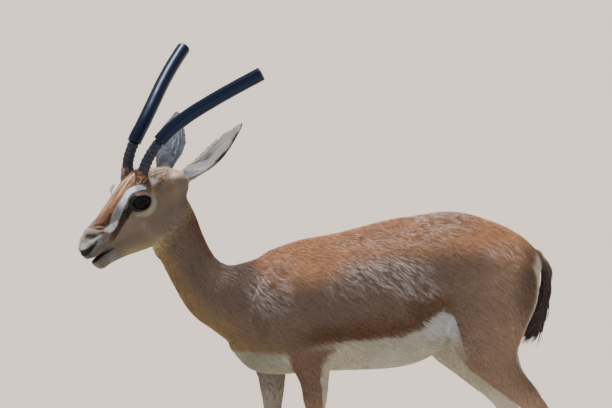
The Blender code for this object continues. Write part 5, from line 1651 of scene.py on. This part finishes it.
# hoof wall, worn by walking on dry ground: dark, dull, faintly ringed and dusty at the edge
hoofWall, tree, shader = newMaterial("worn dark hoof wall", {"Roughness": 0.55, "IOR": 1.54})
where = addNode(tree, "ShaderNodeTexCoord")
rings = addNode(tree, "ShaderNodeMapping", {"Scale": (140, 140, 900)}, {"Vector": where.outputs["Object"]})
grain = addNode(tree, "ShaderNodeTexNoise", {"Scale": 1.0, "Detail": 3.0},
                {"Vector": rings.outputs["Vector"]})
ramp = addNode(tree, "ShaderNodeValToRGB", {}, {"Fac": grain.outputs["Fac"]})
ramp.color_ramp.elements[0].color, ramp.color_ramp.elements[1].color = rgba("#211d1b"), rgba("#50483f")
ramp.color_ramp.elements[0].position, ramp.color_ramp.elements[1].position = 0.3, 0.8
tree.links.new(ramp.outputs["Color"], shader.inputs["Base Color"])
bump = addNode(tree, "ShaderNodeBump", {"Strength": 0.4, "Distance": 0.0003},
               {"Height": grain.outputs["Fac"]})
tree.links.new(bump.outputs["Normal"], shader.inputs["Normal"])
for limb, longWord in (("fore", "front"), ("hind", "hind")):
    toe, heel, place = hooves[limb]
    for side, word in ((left, "left"), (right, "right")):
        step = body[limb + "Stride"][2] if side == right else 0
        for inward, half in ((1, "inner"), (-1, "outer")):
            cleft = place - inward * hooves["gap"]
            wall = cleft - inward * hooves["width"]
            grid = clawGrid(toe + step, heel + step, -side * cleft, -side * wall)
            name = "_".join(("hoof", longWord, word, half))
            finished(putMesh("claw_" + name[5:], *closedTube(grid)), hoofWall, (name,))
        ankle = (heel + step + (2 if limb == "fore" else 6), 62)
        shapes = []
        for across in (-6.5, 6.5):
            grid, low, high = ellipsoid((ankle[0], -side * place + across, ankle[1] - 6),
                                        hooves["dewclaw"], 20, 12)
            shapes.append(closedTube(grid, low, high))
        finished(putMesh("dewclaws_" + longWord + "_" + word, *joined(shapes)), hoofWall)


# Tail: a slim core under long dark locks that lie down it and spread at its end.
def tailLine(shares):
    # points of the tail's middle line and the way it runs there
    shares = np.asarray(shares, float)
    points = [(x, 0, z) for x, z in tail["path"]]
    ahead = evenPath(points, np.minimum(1, shares + 0.02))
    behind = evenPath(points, np.maximum(0, shares - 0.02))
    return evenPath(points, shares), unit(ahead - behind)


def tailHair():
    # locks rooted round the core: along the tail, spreading by 0.8 + 5.2 share^1.5 mm
    draw = np.random.default_rng(7)
    count = 1300
    share = np.sqrt(draw.uniform(0.02, 0.96, count))
    turn = draw.uniform(-np.pi, np.pi, count)
    root, along = tailLine(share)
    out = np.stack([np.cos(turn), np.sin(turn), 0 * turn], 1)
    out = unit(out - along * np.einsum("ij,ij->i", out, along)[:, None])
    core = np.interp(share * 6, range(7), tail["core"])
    length = (26 + 22 * share + draw.uniform(-5, 7, count)) * np.where(np.cos(turn) < -0.3, 0.75, 1.0)
    spread = 0.8 + 5.2 * share**1.5
    # the lower locks fan out towards the rump, as far as 34 mm at their tips
    fan = draw.uniform(0, 1, count) ** 0.8 * ease(share, 0.25, 0.9) * 34
    length *= 1 + ease(share, 0.5, 0.9) * (0.24 * np.sin(fan * 0.75 + 1.2) + 0.06 * np.sin(turn * 5))
    bend = np.stack([-fan, draw.normal(0, 2.5, count), -3 * share + fan * 0.10], 1)
    steps = []
    for t, lift, wide, sag in ((0, 0.75, 0, 0), (0.25, 1.0, 0.25, 0.12), (0.5, 0.98, 0.65, 0.38),
                               (0.75, 0.8, 0.7, 0.7), (1, 0.5, 0.45, 1.0)):
        steps.append(root + along * (length * t)[:, None] + out * (core * lift + spread * wide)[:, None]
                     + bend * sag)
    paths = np.stack(steps, 1)
    paths[:, :, 0] = np.minimum(paths[:, :, 0], 412.5)
    rootTone = (
        linear("#7f6f68") + (linear("#463b40") - linear("#7f6f68")) * ease(share, 0.12, 0.35)[:, None]
    )
    colour = rootTone * (1 + draw.normal(0, 0.16, count))[:, None]
    flat = np.stack([0.02 + 0.9 * share, (turn + np.pi) / 6.6 + 0.01], 1)
    return blades("tail_hair", paths, draw.uniform(1.6, 3.2, count), np.full(count, 0.8), out, colour, flat)


print("building the tail")
coreShare = np.linspace(0.05, 1.0, 30)
corePath, along = tailLine(coreShare)
coreGrid = roundTube(corePath, np.interp(coreShare * 6, range(7), tail["core"]) * 0.92, 28,
                     flatAxis=(0, 1, 0))
tailCore = putMesh("tail_core", *closedTube(coreGrid))
corePoints = drawnPoints(tailCore.data)
coreTone = ease(-corePoints[:, 2], -568, -548)[:, None]
paint(tailCore, linear("#7f6f68") + (linear("#3a3031") - linear("#7f6f68")) * coreTone)
# coarse tail hair: longer and straighter than the coat, nearly black, with a low sheen
tailFur = furMaterial("coarse dark tail hair", 0.14, 0.15)
finished(tailCore, tailFur, ("tail",))
finished(tailHair(), tailFur)

# Floor, light and camera.
studio = {
    "floor": "#cfc6bc", "world": "#e9eef6", "worldStrength": 0.45, "target": (-0.044, 0.0, 0.662),
    "distance": 7.9, "elevation": 6.0, "fieldWidth": 1.132, "sensor": 36.0, "halfFloor": 40e3,
}
reach = studio["halfFloor"]
floorCorners = np.array([(-reach, -reach, 0), (reach, -reach, 0), (reach, reach, 0), (-reach, reach, 0)])
floor = putMesh("floor", floorCorners, np.array([[0, 1, 2, 3]]), np.zeros((0, 3), int))
# matt painted studio floor: even, pale and without gloss
paintedFloor, tree, shader = newMaterial("matt painted studio floor",
                                         {"Base Color": rgba(studio["floor"]), "Roughness": 0.9})
floor.data.materials.append(paintedFloor)
floor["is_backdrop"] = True

world = bpy.data.worlds.new("studio")
world.use_nodes = True
world.node_tree.nodes["Background"].inputs["Color"].default_value = rgba(studio["world"])
world.node_tree.nodes["Background"].inputs["Strength"].default_value = studio["worldStrength"]
bpy.context.scene.world = world


def addLamp(name, place, size, power, colour):
    # a round soft lamp, turned to a point half a metre above the floor
    lamp = bpy.data.lights.new(name, "AREA")
    lamp.shape, lamp.size, lamp.energy = "DISK", size, power
    lamp.color = tuple(linear(colour))
    made = bpy.data.objects.new(name, lamp)
    made.location = Vector(place)
    made.rotation_mode = "QUATERNION"
    made.rotation_quaternion = (Vector((0, 0, 0.5)) - Vector(place)).to_track_quat("-Z", "Y")
    bpy.context.scene.collection.objects.link(made)
    made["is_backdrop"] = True


addLamp("front", (-3.2, -3.4, 2.6), 2.4, 14, "#eef3ff")
# one broad soft light high above, a little behind the model, lights model and floor alike
overhead = bpy.data.lights.new("overhead", "SUN")
overhead.energy, overhead.angle, overhead.color = 6.0, math.radians(16), tuple(linear("#fff6ea"))
overheadLamp = bpy.data.objects.new("overhead", overhead)
overheadLamp.rotation_mode = "QUATERNION"
overheadLamp.rotation_quaternion = Vector((0.05, -0.20, -1.0)).to_track_quat("-Z", "Y")
bpy.context.scene.collection.objects.link(overheadLamp)
overheadLamp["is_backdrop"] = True

camera = bpy.data.objects.new("camera", bpy.data.cameras.new("camera"))
bpy.context.scene.collection.objects.link(camera)
elevation = math.radians(studio["elevation"])
backward = Vector((0, -math.cos(elevation), math.sin(elevation)))
camera.location = Vector(studio["target"]) + Vector(shift) + backward * studio["distance"]
camera.rotation_mode = "QUATERNION"
camera.rotation_quaternion = (-backward).to_track_quat("-Z", "Y")
camera.data.sensor_width = studio["sensor"]
camera.data.lens = studio["sensor"] * studio["distance"] / studio["fieldWidth"]
camera.data.clip_end = 200
bpy.context.scene.camera = camera

low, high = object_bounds()
